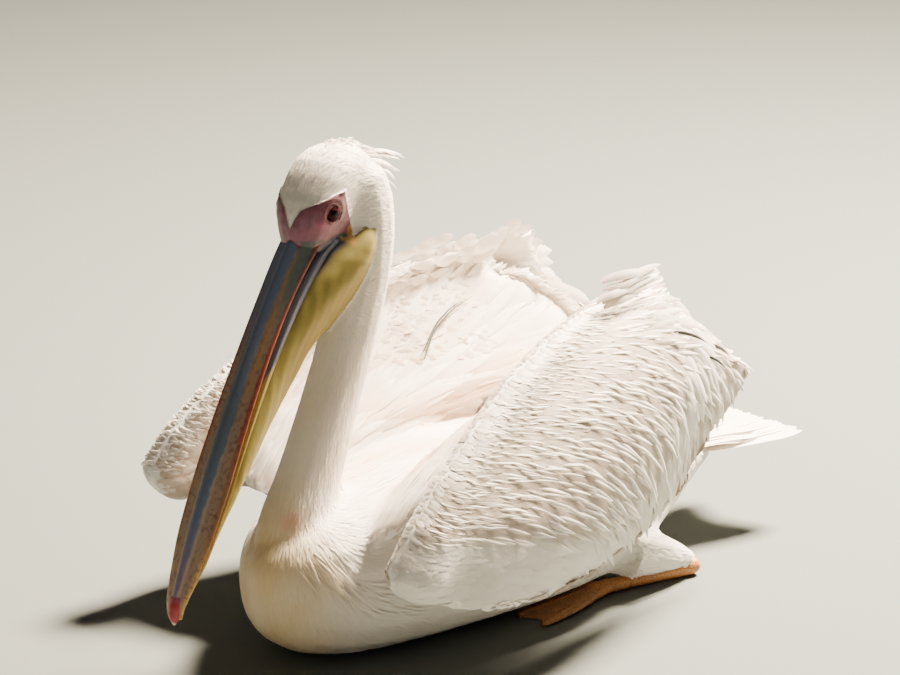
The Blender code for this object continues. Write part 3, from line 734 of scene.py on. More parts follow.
def paintUpper(turn, run):
    share = mix(bill["start"], bill["end"], run)
    a, b = np.cos(turn * 2 * np.pi), np.sin(turn * 2 * np.pi)
    t = np.abs(a) + 0.016 * np.sin(share * 90) + 0.012 * np.sin(share * 233)
    ridge = layered(billPaint["ridge"], (billPaint["ridgeMiddle"], bump(share, 0.5, 0.2)),
                    (billPaint["ridgeTip"], ease(share, 0.70, 0.90)))
    flank = layered(billPaint["base"], (billPaint["flank"], ease(share, 0.08, 0.30)),
                    (billPaint["ridge"], 0.85 * (a < 0) * (1 - ease(share, 0.20, 0.42))))
    rim = layered(billPaint["dark"], (billPaint["red"], ease(share, 0.10, 0.28)),
                  (billPaint["edge"], ease(share, 0.46, 0.66)), (billPaint["pale"], ease(share, 0.74, 0.90)))
    band = 0.38 - 0.13 * ease(share, 0.42, 0.75) - 0.06 * ease(share, 0.75, 0.93)
    seam = bump(t, mix(0.40, 0.50, ease(share, 0.0, 0.3)), 0.05 + 0.09 * ease(share, 0.02, 0.26))
    seam *= (1 - ease(share, 0.32, 0.5)) * ease(share, 0.01, 0.04) * np.where(a > 0, 0.85, 0.25)
    reach = mix(0.90, 0.79, ease(share, 0.12, 0.5))
    # bare skin of the face reaches onto the base, in a notch at each groove
    skin = np.interp(np.abs(a) * billLine(share)[0], (0, 0.006, 0.009, 0.012, 0.0194, 0.0261),
                     (0.0015, 0.0025, 0.0080, 0.0025, -0.0019, -0.0049))
    colour = layered(
        ridge,
        (flank, ease(t, band - 0.04, band + 0.05)),
        (billPaint["orange"], seam),
        (rim, 0.9 * ease(t, reach - 0.05, reach + 0.05)),
        (marks["face"], ease(skin - share * head["billLength"], -0.0004, 0.0004)),
    )
    return np.where((b < 0)[:, None], mix(colour, billPaint["pale"], 0.3), colour)


def jawReach(run):
    return mix(bill["jawStart"], bill["jawEnd"] * head["billLength"], run)


def lowerBill(turn, run):
    # the two jaw bars, closed under the upper bill
    reach = jawReach(run)
    share = np.maximum(reach, 0) / head["billLength"]
    behind = np.maximum(-reach, 0)
    half, top, rise = billLine(share)
    half = half * (1.06 - 0.12 * share - 0.32 * ease(share, 0.82, 0.95)) + 0.20 * behind
    high = top - rise - 0.0046 - 0.45 * behind
    deep = 0.0200 - 0.0150 * np.minimum(share / 0.6, 1) ** 1.2
    angle = turn * 2 * np.pi
    a = np.sign(np.cos(angle)) * np.abs(np.cos(angle)) ** 0.77
    b = np.sign(np.sin(angle)) * np.abs(np.sin(angle)) ** 0.77
    groove = 1 - 0.03 * bump(b, 0.0, 0.2)
    cap = np.sqrt(np.clip(np.minimum(run / 0.02, (1 - run) / 0.008), 0, 1))
    height = high - deep / 2 + b * deep / 2 * cap
    along = np.where(reach < 0, reach / head["billLength"], share)
    return placeOnBill(a * half * groove * cap, along, height)


def paintLower(turn, run):
    share = np.maximum(jawReach(run), 0) / head["billLength"]
    b = np.sin(turn * 2 * np.pi)
    return layered(
        marks["bar"],
        (marks["pouch"], ease(0.32 + 0.06 * b - share, 0.02, -0.02)),
        (billPaint["pale"], ease(share, 0.62, 0.86)),
        (billPaint["dark"], 0.7 * ease(b, 0.6, 0.9) * (1 - ease(share, 0.4, 0.6))),
        (marks["barEdge"], 0.6 * ease(-b, 0.3, 0.8) * (1 - ease(share, 0.3, 0.45))),
    )


def nailShape(turn, run):
    # lies over the ridge's end, then hooks down
    along = 0.918 * head["billLength"] + 0.0345 * run
    places = (0, 0.25, 0.5, 0.75, 1)
    half = curve(places, (0.0068, 0.0080, 0.0079, 0.0068, 0.0038))(run)
    middle = curve(places, (0.0020, -0.0005, -0.0022, -0.0055, -0.0108))(run)
    rise = curve(places, (0.0032, 0.0046, 0.0055, 0.0062, 0.0046))(run)
    angle = turn * 2 * np.pi
    cap = np.sqrt(np.clip(np.minimum(run / 0.20, (1 - run) / 0.22), 0, 1))
    keel = 0.0006 * bump(np.cos(angle), 0, 0.3) * (np.sin(angle) > 0)
    height = middle + (rise * np.sin(angle) + keel) * cap
    return placeOnBill(half * np.cos(angle) * cap, along / head["billLength"], height)


def paintNail(turn, run):
    # the nail's red, the ridge's colour running onto its base, and a near-white tip that is partly a painted
    # glint
    return layered(billPaint["nail"], (billPaint["ridgeTip"], 0.6 * (1 - ease(run, 0.05, 0.45))),
                   (billPaint["nailTip"], ease(run, 0.90, 0.985)))


def setFlecks(mesh, amount):
    # How strongly flecked the horn is, from base to tip.
    across, back = toHead(ofVertices(mesh)).T[:2]
    share = -back / head["billLength"]
    middle = -bill["drift"] * np.maximum(share, 0) ** 3
    flank = ease(np.abs(across - middle) / billLine(share)[0], 0.3, 0.5)
    setPaint(mesh, "fleck", amount * flank * mix(0.15, 1.0, ease(share, 0.12, 0.36)))


# piece, faces round and along, shape, paint, flecks, slot, and the CAD node that it replaces
billPieces = (
    ("upperBill", 96, 170, upperBill, paintUpper, 1.0, "bill", "bill_upper"),
    ("lowerBill", 48, 120, lowerBill, paintLower, 0.5, "bill", "bill_lower"),
    ("nailHook", 32, 28, nailShape, paintNail, 0.1, "nail", "nail"),
)


def makeBill():
    for name, around, along, place, paint, flecks, slot, node in billPieces:
        mesh = sleeve(name, around, along, place, paint)
        setFlecks(mesh, flecks)
        addPiece(name, mesh, horn, [node])
    print("bill made")


makeBill()

# feet
feet = dict(voxel=0.0017, middle=0.0905, webEnd=0.118, toes=(-0.036, 0.0, 0.036), toeWidth=0.0038,
            hollow=0.0012, sole=0.0003)
footPaint = tones(skin="#C98A4E", web="#B98452")


def makeFeet():
    look = footMaterial()
    for side, sign in sides.items():
        points, normals, quads = remeshed([f"leg_{side}"], feet["voxel"], 3)
        # toes stand up as ridges in the thin web
        spread = mix(0.2, 1.0, ease(feet["webEnd"] - points[:, 1], 0.0, 0.11))
        offset = (points[:, 0] - sign * feet["middle"]) / spread
        toes = sum(bump(offset, place, feet["toeWidth"]) for place in feet["toes"])
        web = ease(0.112 - points[:, 1], 0.0, 0.015) * (1 - np.clip(toes, 0, 1))
        points = points - normals * (skinShape["grow"] + feet["hollow"] * web)[:, None]
        points[:, 2] = np.maximum(points[:, 2], feet["sole"])
        mesh = meshOf(f"{side}Foot", points, quads)
        setPaint(mesh, "tint", layered(footPaint["skin"], (footPaint["web"], web)))
        addPiece(f"{side}Foot", mesh, look, [f"leg_{side}"])
    print("feet made")


makeFeet()


# laying feathers
def tangent(directions, normals):
    flat = directions - np.sum(directions * normals, axis=1, keepdims=True) * normals
    return unit(flat)


def thinned(points, headings, along, across):
    # Keeps candidates so that no ellipse, drawn along the heading, holds two of them.
    tree = KDTree(len(points))
    for index, point in enumerate(points.tolist()):
        tree.insert(point, index)
    tree.balance()
    alive = np.ones(len(points), bool)
    kept = []
    for index in range(len(points)):
        if not alive[index]:
            continue
        kept.append(index)
        near = np.array([item[1] for item in tree.find_range(points[index].tolist(), along[index])])
        gap = points[near] - points[index]
        run = gap @ headings[index]
        side = np.maximum(np.sum(gap**2, axis=1) - run**2, 0)
        alive[near] &= (run / along[index]) ** 2 + side / across[index] ** 2 >= 1
    return np.array(kept)


outlines = {
    "pointed": curve((0, 0.15, 0.45, 0.75, 0.92, 1), (0.45, 0.85, 1.0, 0.80, 0.38, 0.04)),
    "oval": curve((0, 0.15, 0.45, 0.75, 0.92, 1), (0.55, 0.85, 1.0, 0.95, 0.62, 0.10)),
    "strand": curve((0, 0.2, 0.5, 0.8, 1), (0.55, 0.95, 1.0, 0.62, 0.03)),
    "wisp": curve((0, 0.15, 0.35, 0.6, 0.8, 0.92, 1), (0.15, 0.70, 1.0, 0.82, 0.50, 0.24, 0.02)),
}


def trace(shell, roots, flow, length, rows, past):
    # Centre lines along the flow; past a rim they run straight on, for no more than past.
    steps = 2 * rows
    here, up = shell.nearest(roots)
    path, ups = [here], [up]
    heading = tangent(flow(here, up), up)
    stride = length / steps
    beyond = np.zeros(len(roots))
    reach = np.zeros(len(roots))
    growing = np.ones(len(roots), bool)
    for _ in range(steps):
        ahead = here + heading * stride[:, None]
        onSkin, normal = shell.nearest(ahead)
        # where the skin turns sharply away or ends, the feather leaves it
        turned = np.sum(normal * up, axis=1) < 0.3
        far = np.linalg.norm(onSkin - ahead, axis=1) > 0.55 * stride
        free = turned | far | (beyond > 0)
        beyond = np.where(free, beyond + stride, 0)
        growing &= beyond <= past + stride
        here = np.where(free[:, None], ahead, onSkin)
        up = np.where(free[:, None], up, unit(normal + up))
        newer = tangent(flow(here, up), up)
        heading = np.where(free[:, None], heading, unit(heading * 0.4 + newer * 0.6))
        path.append(here)
        ups.append(up)
        reach += np.where(growing, stride, 0)
    reach = np.minimum(reach, length)
    # the part that is kept is cut again into even steps
    path, ups = np.stack(path, 1), np.stack(ups, 1)
    places = np.linspace(0, 1, rows)[None, :] * (reach / stride)[:, None]
    low = np.clip(places.astype(int), 0, steps - 1)
    part = (places - low)[..., None]
    pick = np.arange(len(roots))[:, None]
    path, ups = (mix(line[pick, low], line[pick, low + 1], part) for line in (path, ups))
    return path, unit(ups), reach


def vaneGrid(columns, rows):
    # A flat grid: places across (-1 to 1) and along (0 to 1), the row of each, and the faces.
    bm = bmesh.new()
    bmesh.ops.create_grid(bm, x_segments=columns - 1, y_segments=rows - 1, size=1)
    flat = np.array([v.co[:2] for v in bm.verts])
    quads = np.array([[v.index for v in f.verts] for f in bm.faces])
    bm.free()
    along = (flat[:, 1] + 1) / 2
    return flat[:, 0], along, np.round(along * (rows - 1)).astype(int), quads


# A style, in metres: seeds per square metre; along and across, the room each feather takes; its length,
# width and lift at the tip; sway and roll, how unruly it lies; camber, its crown; bend, how late it lifts;
# base, its height at the root; past, how far it may stand over a rim; least, the shortest share that is
# kept; shade, how dark its root is; varied, how much its brightness varies; columns and rows, its mesh.
def vanes(name, path, ups, width, lift, style, atlas, tint=None, slot="plumage", replaced=()):
    # Builds one mesh of feathers round their centre lines.
    count, rows = path.shape[:2]
    u, v, row, quad = vaneGrid(style.get("columns", 3), rows)
    lengthwise = unit(np.gradient(path, axis=1))
    across = unit(np.cross(ups, lengthwise))
    roll = chance.normal(0, style.get("roll", 0.1), count)[:, None, None]
    across = unit(across + ups * roll)
    half = (width[:, None] / 2) * outlines[style["outline"]](v)[None, :]
    rise = style.get("base", 0.0004) + lift[:, None] * v[None, :] ** style.get("bend", 1.5)
    crown = style.get("camber", 0.1) * half * (1 - np.abs(u[None, :]) ** 1.5)
    points = path[:, row] + across[:, row] * (half * u[None, :])[..., None]
    points = points + ups[:, row] * (rise + crown)[..., None]
    points[:, :, 2] = np.maximum(points[:, :, 2], 0.0004)
    size = len(u)
    quads = (np.arange(count)[:, None, None] * size + quad[None]).reshape(-1, 4)
    mesh = meshOf(name, points.reshape(-1, 3), quads)
    vaneMap = np.stack([(u + 1) / 2, v], 1)[None]
    setMap(mesh, "OFBake", (atlas[:, None, :] + (vaneMap - 0.5) * 0.003).reshape(-1, 2))
    setMap(mesh, "VaneMap", np.broadcast_to(vaneMap, (count, size, 2)).reshape(-1, 2))
    shade = np.full((count, 1), style.get("shade", 1.0))
    colour = plumageTint(path[:, 0]) if tint is None else np.broadcast_to(tint, (count, 3))
    colour = colour * chance.uniform(1 - style.get("varied", 0.05), 1.0, (count, 1))
    setPaint(mesh, "tint", np.repeat(np.hstack([colour, shade]), size, 0))
    print(" ", name, count, "feathers,", len(quads) * 2, "triangles")
    addPiece(name, mesh, feather, replaced)


def layAlong(name, path, up, width, style, atlas, **extra):
    # Feathers on given centre lines, flat to one upward direction, or to one at each point.
    ups = np.broadcast_to(unit(np.asarray(up, float)), path.shape)
    count = len(path)
    vanes(name, path, ups, np.broadcast_to(width, count), np.zeros(count), style, atlas(path[:, 0]), **extra)


def coat(name, shell, mask, flow, atlas, style, tint=None):
    # Covers part of a skin. A style's sizes are numbers, or functions of the roots' places.

    def sized(key, points):
        value = style[key]
        return np.broadcast_to(value(points) if callable(value) else value, len(points)).astype(float)

    roots, normals = shell.sprinkle(mask, style["seeds"])
    headings = tangent(flow(roots, normals), normals)
    kept = thinned(roots, headings, sized("along", roots), sized("across", roots))
    roots = roots[kept]
    count = len(roots)
    length = sized("length", roots) * chance.uniform(0.82, 1.18, count)
    sway = chance.normal(0, style.get("sway", 0.08), count)[:, None]

    def wandering(points, normals):
        heading = tangent(flow(points, normals), normals)
        return heading + np.cross(normals, heading) * sway

    path, ups, reach = trace(shell, roots, wandering, length, style.get("rows", 5), style.get("past", 0.004))
    whole = reach > style.get("least", 0.3) * length
    width = sized("width", roots) * chance.uniform(0.85, 1.15, count)
    lift = sized("lift", roots) * chance.uniform(0.5, 1.5, count)
    path, ups, width, lift, roots = (values[whole] for values in (path, ups, width, lift, roots))
    vanes(name, path, ups, width, lift, style, atlas(roots), tint(roots) if tint else None)


# unwraps of the skin, one for each tract
def onSheet(across, along):
    # Two shares from 0 to 1, inside a small margin.
    return np.stack([0.02 + 0.96 * np.clip(across, 0, 1), 0.02 + 0.96 * np.clip(along, 0, 1)], 1)


def aroundBody(points):
    x, y, z = points.T
    return onSheet(np.arctan2(x, z - 0.10) / (2 * np.pi) + 0.5, (y + 0.36) / 0.86)


def aroundNeck(points):
    x, y, z = points.T
    axis = np.interp(z, [0.12, 0.20, 0.33, 0.41, 0.53], [-0.262, -0.236, -0.180, -0.158, -0.152])
    return onSheet(np.arctan2(x, y - axis) / (2 * np.pi) + 0.5, (z - 0.08) / 0.52)


def wingSide(points):
    # One face of a wing, which stands nearly upright.
    return onSheet((points[:, 1] + 0.34) / 0.90, points[:, 2] / 0.44)


bodyFace = body.labels[body.quads[:, 0]].astype(str)
at = body.centres
facing = body.facing


def isPart(word):
    # The body's faces that lie over CAD nodes whose names begin with the word.
    return np.char.startswith(bodyFace, word)


# breast, belly and flanks
neckFoot = np.array([0.006, -0.258, 0.215])


def trunkFlow(points, normals):
    # Fans out from the foot of the neck, then runs back along the body.
    share = ease(points[:, 1], -0.30, -0.16)[:, None]
    return mix(unit(points - neckFoot), np.array([0.0, 1.0, 0.05]), share)


def rearward(small, large, start=-0.30, end=0.0):
    # A size that grows from the breast backwards.
    return lambda p: mix(small, large, ease(p[:, 1], start, end))


breastCoat = dict(
    seeds=700000, along=rearward(0.0062, 0.0110), across=rearward(0.0021, 0.0050),
    length=rearward(0.0190, 0.0340), width=rearward(0.0032, 0.0085), lift=0.0006, outline="pointed",
    camber=0.10, sway=0.10, roll=0.06, shade=0.22, varied=0.04,
)
coat("bodyFeathers", body, isPart("trunk") & (at[:, 2] > 0.003), trunkFlow, aroundBody, breastCoat)

# long fine plumes of the breast's side, lying across the fold in front of the wing
fringe = dict(
    seeds=700000, along=0.0095, across=0.0026, length=0.0400, width=0.0030, lift=0.0052, outline="strand",
    camber=0.3, rows=7, sway=0.16, roll=0.2, shade=0.1, bend=1.3, past=0.004, base=0.0010,
)


def makeFringe():
    # a curved band round the hollow between neck and wing, its plumes bending back round the wing
    height = mix(0.138, 0.080, np.clip((at[:, 1] + 0.285) / 0.060, 0, 1) ** 0.8)
    hollow = isPart("trunk") & (at[:, 1] < -0.205) & (np.abs(at[:, 2] - height) < 0.015)
    for side, sign in sides.items():

        def flow(points, normals):
            bend = ease(points[:, 1], -0.275, -0.215)[:, None]
            return mix(np.array([0.55 * sign, 0.30, -0.75]), np.array([0.25 * sign, 0.90, -0.25]), bend)

        coat(f"{side}Fringe", body, hollow & (at[:, 0] * sign > 0.066), flow, aroundBody, fringe)


makeFringe()

# neck: short, velvety
neckCoat = dict(
    seeds=1600000, along=0.0050, across=0.0013, length=0.0120, width=0.0019, lift=0.0004, outline="strand",
    columns=2, rows=4, sway=0.10, roll=0.05, shade=0.12, varied=0.05,
)


def neckFlow(points, normals):
    # Down the neck, spreading out at its foot.
    spread = (points - np.array([0.003, -0.235, 0.2])) * np.array([6.0, 3.0, 0.0])
    return np.array([0.0, -0.25, -1.0]) + spread * ease(0.20 - points[:, 2], 0.0, 0.08)[:, None]


lowNeck = isPart("neck_lower") | (isPart("neck_upper") & (at[:, 2] < 0.37))
aroundFoot = np.linalg.norm(at[:, :2] - (0.006, -0.255), axis=1) < 0.055 + 0.012 * np.sin(at[:, 0] * 260)
lowNeck |= isPart("trunk") & aroundFoot & (at[:, 2] > 0.125)
coat("neckFeathers", body, lowNeck, neckFlow, aroundNeck, neckCoat)

# head
foreheadPoint = fromHead([(0.0, 0.004, 0.004)])[0]


def backward(small, large, start=0.015, end=0.09):
    # A size that grows from the forehead to the nape.
    return lambda p: mix(small, large, ease(toHead(p)[:, 1], start, end))


headCoat = dict(
    seeds=3000000, along=backward(0.0030, 0.0050), across=backward(0.0010, 0.0013),
    length=backward(0.0060, 0.0125), width=backward(0.0013, 0.0018),
    lift=backward(0.0004, 0.0009, 0.03, 0.10), outline="strand", columns=2, rows=4, sway=0.16, roll=0.1,
    shade=0.12, varied=0.06, past=0.002,
)


def headFlow(points, normals):
    # From the forehead's point back over the crown, then down the nape and neck.
    behind = ease(toHead(points)[:, 1], 0.06, 0.13)[:, None]
    return mix(unit(points - foreheadPoint) + (0, 0.3, 0), np.array([0.0, 0.1, -1.0]), behind)


faceBare = headBare[headShell.quads].mean(1)
coveredHead = (faceBare < 0.3) & (headShell.centres[:, 2] > 0.352)
coat("headFeathers", headShell, coveredHead, headFlow, aroundNeck, headCoat)

# crest: root, offset of the tip, number, spread of the roots and of the tips, width
crestTufts = (
    ((-0.013, -0.133, 0.549), (0.015, 0.043, -0.008), 9, 0.0018, 0.0009, 0.0040),
    ((-0.011, -0.131, 0.547), (0.013, 0.034, -0.007), 7, 0.0018, 0.0009, 0.0036),
    ((0.000, -0.129, 0.541), (0.010, 0.027, -0.012), 8, 0.0016, 0.0008, 0.0036),
    ((-0.012, -0.142, 0.557), (0.010, 0.020, -0.006), 18, 0.0050, 0.0022, 0.0020),
    ((-0.014, -0.155, 0.563), (0.008, 0.014, -0.002), 20, 0.0060, 0.0020, 0.0017),
    ((-0.016, -0.170, 0.566), (0.005, 0.010, 0.001), 22, 0.0070, 0.0018, 0.0015),
    ((-0.018, -0.186, 0.564), (0.003, 0.007, 0.002), 16, 0.0070, 0.0015, 0.0013),
    ((0.002, -0.127, 0.530), (0.006, 0.011, -0.013), 8, 0.0050, 0.0020, 0.0020),
)


def makeCrest():
    # Loose plumes that stand off the nape in a few pointed locks, and ruffled crown hairs.
    paths, widths = [], []
    v = np.linspace(0, 1, 7)[:, None]
    for place, offset, count, rootSpread, tipSpread, width in crestTufts:
        for _ in range(count):
            root = headShell.nearest(np.array([place]) + chance.normal(0, rootSpread, 3))[0][0]
            tip = root + np.array(offset) * chance.uniform(0.65, 1.08) + chance.normal(0, tipSpread, 3)
            sag = np.array([0, 0, 0.0035]) * chance.uniform(0.2, 1.2)
            paths.append(mix(root, tip, v) + sag * (v * (1 - v) * 4))
            widths.append(width * chance.uniform(0.7, 1.2))
    style = dict(outline="strand", camber=0.3, roll=0.4, shade=0.1, base=0.0)
    layAlong("crestFeathers", np.array(paths), (0.5, -0.45, 0.7), np.array(widths), style, aroundNeck)


makeCrest()

# wings
def wingFlow(share=1.0):
    # Level at the leading edge, dipping more and more towards the rear rim.

    def flow(points, normals):
        along, out = wingPlace(points)
        dip = wing["dip"] + wing["turn"] * np.clip(out, 0, 0.24)
        dip = dip - wing["elbowLess"] * ease(along, 0.36, 0.55)
        dip = dip - wing["lowLess"] * ease(0.20 - points[:, 2], 0.0, 0.08)
        angle = np.radians(dip * share)[:, None]
        upright = np.array([0.0, 0.0, 1.0])
        level = unit(np.cross(np.broadcast_to(upright, normals.shape), normals))
        level = level * np.sign(level[:, 1:2] + 1e-9)
        slope = unit(np.sum(upright * normals, axis=1, keepdims=True) * normals - upright)
        return np.cos(angle) * level + np.sin(angle) * slope

    return flow


def outward(small, large, start=0.0, end=0.2):
    # A size that grows from the leading edge to the rear rim.
    return lambda p: mix(small, large, np.clip((wingPlace(p)[1] - start) / (end - start), 0, 1))


def ruffled(points):
    # 1 where the coverts lie loose, 0 on the wing's smooth lower front and the far wing's wrist.
    farWrist = ease(0.17 - wingPlace(points)[0], 0.0, 0.05) * (points[:, 0] < 0)
    return ease(points[:, 2] - (0.148 - 0.17 * points[:, 1]), -0.008, 0.014) * (1 - farWrist)


def wingTint(points):
    # The feathers under the loose ones are in deep, warm shade.
    loose = ruffled(points) * ease(wingPlace(points)[1], -0.092, -0.050)
    return plumageTint(points) * mix(np.ones(3), wing["under"], loose[:, None])


def liningShade(points):
    # Painted shade: the wing's inner face is warmer and duller towards the wrist.
    front = ease(0.13 - points[:, 1], 0.0, 0.11)
    return plumageTint(points) * mix(np.ones(3), wing["lining"], front[:, None])


wingBase = dict(  # close-lying feathers, small along the leading edge
    seeds=300000, along=outward(0.0080, 0.0150, -0.02, 0.06), across=outward(0.0032, 0.0088, -0.02, 0.08),
    length=outward(0.022, 0.050, -0.02, 0.10), width=outward(0.0052, 0.0135, -0.02, 0.08), lift=0.0004,
    outline="oval", camber=0.05, rows=6, sway=0.07, roll=0.03, shade=0.30, varied=0.04, past=0.002,
)
wingStrands = dict(  # narrow loose tips that catch the light
    seeds=600000, along=outward(0.0150, 0.0350, -0.07, 0.2), across=outward(0.0034, 0.0118, -0.07, 0.2),
    length=outward(0.0340, 0.0800, -0.07, 0.2), width=outward(0.0032, 0.0098, -0.07, 0.2),
    lift=outward(0.0026, 0.0076, -0.07, 0.2), outline="wisp", camber=0.35, rows=9, columns=5,
    sway=0.10, roll=0.14, shade=0.75, bend=1.7, varied=0.03, past=0.006, base=-0.0006, least=0.6,
)
edgeCoat = dict(  # tiny feathers wrapped over the wing's leading edge
    seeds=900000, along=0.0060, across=0.0030, length=0.0150, width=0.0058, lift=0.0007, outline="oval",
    camber=0.10, rows=5, sway=0.12, roll=0.06, shade=0.35, varied=0.05, past=0.002,
)
upperLining = dict(  # small feathers high on the inner face, mottled by strong painted shade at their roots
    seeds=500000, along=0.0085, across=0.0048, length=0.0250, width=0.0092, lift=0.0016, outline="oval",
    camber=0.12, rows=6, sway=0.16, roll=0.12, shade=0.75, varied=0.06, past=0.004,
)
innerCoat = dict(  # larger smooth feathers over the rest of the inner face
    seeds=110000, along=0.018, across=0.0090, length=0.055, width=0.0150, lift=0.0010, outline="oval",
    camber=0.07, rows=6, sway=0.06, roll=0.05, shade=0.5, past=0.003,
)
wristFringe = dict(  # small loose feathers standing up along the far wing's wrist
    seeds=700000, along=0.0060, across=0.0030, length=0.0125, width=0.0036, lift=0.0026, outline="wisp",
    camber=0.4, rows=6, sway=0.25, roll=0.2, shade=0.3, bend=1.4, past=0.004, base=0.0003, least=0.5,
)
# the long feathers of the rear rim: tip y and z, dip in degrees, length, width
rimFeathers = (
    (0.201, 0.350, 1, 0.085, 0.0090),
    (0.186, 0.346, 5, 0.075, 0.0100),
    (0.208, 0.335, 8, 0.085, 0.0090),
    (0.192, 0.330, 10, 0.078, 0.0100),
    (0.220, 0.314, 14, 0.088, 0.0110),
    (0.249, 0.293, 22, 0.092, 0.0120),
    (0.262, 0.284, 25, 0.095, 0.0110),
    (0.271, 0.275, 28, 0.100, 0.0110),
    (0.262, 0.262, 36, 0.100, 0.0120),
    (0.247, 0.252, 44, 0.095, 0.0130),
    (0.229, 0.243, 52, 0.090, 0.0130),
    (0.212, 0.231, 58, 0.085, 0.0130),
    (0.198, 0.213, 64, 0.085, 0.0130),
    (0.184, 0.195, 68, 0.085, 0.0130),
    (0.168, 0.176, 70, 0.085, 0.0130),
    (0.157, 0.156, 72, 0.085, 0.0130),
    (0.146, 0.135, 72, 0.080, 0.0120),
    (0.128, 0.115, 70, 0.075, 0.0120),
    (0.096, 0.104, 68, 0.070, 0.0120),
    (0.058, 0.099, 62, 0.060, 0.0110),
    (0.020, 0.097, 54, 0.055, 0.0100),
)
# the tuft at the near wing's elbow, rising straight from the ridge
tuftFeathers = (
    (0.164, 0.399, -9, 0.088, 0.0100),
    (0.159, 0.394, -9, 0.084, 0.0090),
    (0.150, 0.395, -11, 0.080, 0.0095),
    (0.141, 0.394, -11, 0.074, 0.0090),
    (0.130, 0.391, -10, 0.066, 0.0090),
    (0.160, 0.384, -5, 0.082, 0.0095),
    (0.152, 0.387, -7, 0.076, 0.0085),
    (0.145, 0.378, -3, 0.070, 0.0090),
    (0.134, 0.383, -6, 0.062, 0.0085),
)
# the raised tips of the far wing, broader and rounder, seen from inside
raisedFeathers = (
    (0.070, 0.374, -20, 0.040, 0.0120),
    (0.095, 0.380, -22, 0.042, 0.0130),
    (0.118, 0.386, -26, 0.046, 0.0140),
    (0.140, 0.387, -32, 0.050, 0.0160),
    (0.160, 0.390, -38, 0.058, 0.0200),
    (0.181, 0.398, -50, 0.068, 0.0240),
    (0.191, 0.389, -42, 0.068, 0.0230),
    (0.199, 0.378, -30, 0.068, 0.0200),
    (0.209, 0.366, -14, 0.072, 0.0180),
    (0.224, 0.352, -4, 0.075, 0.0180),
    (0.230, 0.335, 4, 0.075, 0.0180),
    (0.238, 0.318, 10, 0.080, 0.0180),
    (0.254, 0.300, 14, 0.085, 0.0170),
    (0.285, 0.277, 22, 0.095, 0.0160),
)
rimStyle = dict(outline="pointed", columns=5, camber=0.16, roll=0.10, shade=0.35, varied=0.04, base=0.0)
roundStyle = dict(rimStyle, outline="oval", camber=0.12)


def rimWidth(y, z):
    # How far from the middle a wing's side stands near its rear rim, which is nearly flat.
    return 0.1522 - 0.164 * (y - 0.2224) - 0.1625 * (z - 0.2536)


def wingFace(flat, v, sign, inside, reach):
    # How far from the middle the wing's face lies along a feather, by rays shot sideways at it.
    rim = rimWidth(*flat.T)
    x = np.full(len(v), np.nan)
    for k, (y, z) in enumerate(flat.tolist()):
        start = Vector((0.0 if inside else sign * 0.4, y, z))
        hit = body.tree.ray_cast(start, Vector((sign if inside else -sign, 0, 0)))[0]
        if hit is not None and abs(hit.x) > (0.07 if inside else 0.0) and abs(abs(hit.x) - rim[k]) < 0.05:
            x[k] = abs(hit.x)
    found = ~np.isnan(x)
    if not found.any():
        return rim - 0.012 * inside
    # near the rim the face curves away: there, and past it, a feather runs straight on
    found &= v <= max(v[found].max() - 0.014 / reach, v[found].min() + 0.15)
    slope = np.polyfit(v[found], x[found], 1)[0] if found.sum() > 2 else 0.0
    past = np.maximum(v - v[found].max(), 0)
    return np.interp(v, v[found], x[found]) + np.clip(slope, -0.012, 0.012) * past


crowding = dict(aside=0.0075, back=0.010, shorter=0.05, turn=5, sag=0.05, stack=0.0007)


def rimPaths(side, feathers, inside, crowd):
    # Centre lines of feathers that lie on a wing's face and end at given tips on or past its rim.
    # Behind each tip a small crowd of others lies to its two sides, further and further back.
    sign = sides[side]
    v = np.linspace(0, 1, 10)
    paths, widths = [], []
    for tipY, tipZ, dip, length, width in feathers:
        for step in range(crowd):
            angle = math.radians(dip + chance.normal(0, crowding["turn"]) * (step > 0))
            heading = np.array([math.cos(angle), -math.sin(angle)])
            square = np.array([-heading[1], heading[0]])
            aside = square * (crowding["aside"] * ((step + 1) // 2) * (-1) ** step)
            back = crowding["back"] * step + chance.uniform(0, 0.006) * (step > 0)
            reach = length * (1 - crowding["shorter"] * step)
            tip = np.array([tipY, tipZ]) + aside - heading * back
            sag = square * crowding["sag"] * reach * (v * (1 - v) * 4)[:, None]
            flat = tip - heading * reach * (1 - v[:, None]) + sag
            # the root lies under the coat, the tip on it
            raised = mix(-0.004, 0.0030 if inside else 0.0016, ease(v, 0.05, 0.5))
            raised = raised + crowding["stack"] * (crowd - step) * v
            x = wingFace(flat, v, sign, inside, reach) + (-1 if inside else 1) * raised
            x = np.convolve(np.pad(x, 1, mode="edge"), (0.25, 0.5, 0.25), "valid")
            paths.append(np.stack([x * sign, flat[:, 0], flat[:, 1]], 1))
            widths.append(width * chance.uniform(0.9, 1.1))
    return np.array(paths), np.array(widths)


def makeRim(name, side, feathers, inside, crowd, style, lean=0.15, **extra):
    path, width = rimPaths(side, feathers, inside, crowd)
    sideways = -sides[side] if inside else sides[side]
    layAlong(name, path, (sideways, 0.15, lean), width, style, wingSide, **extra)


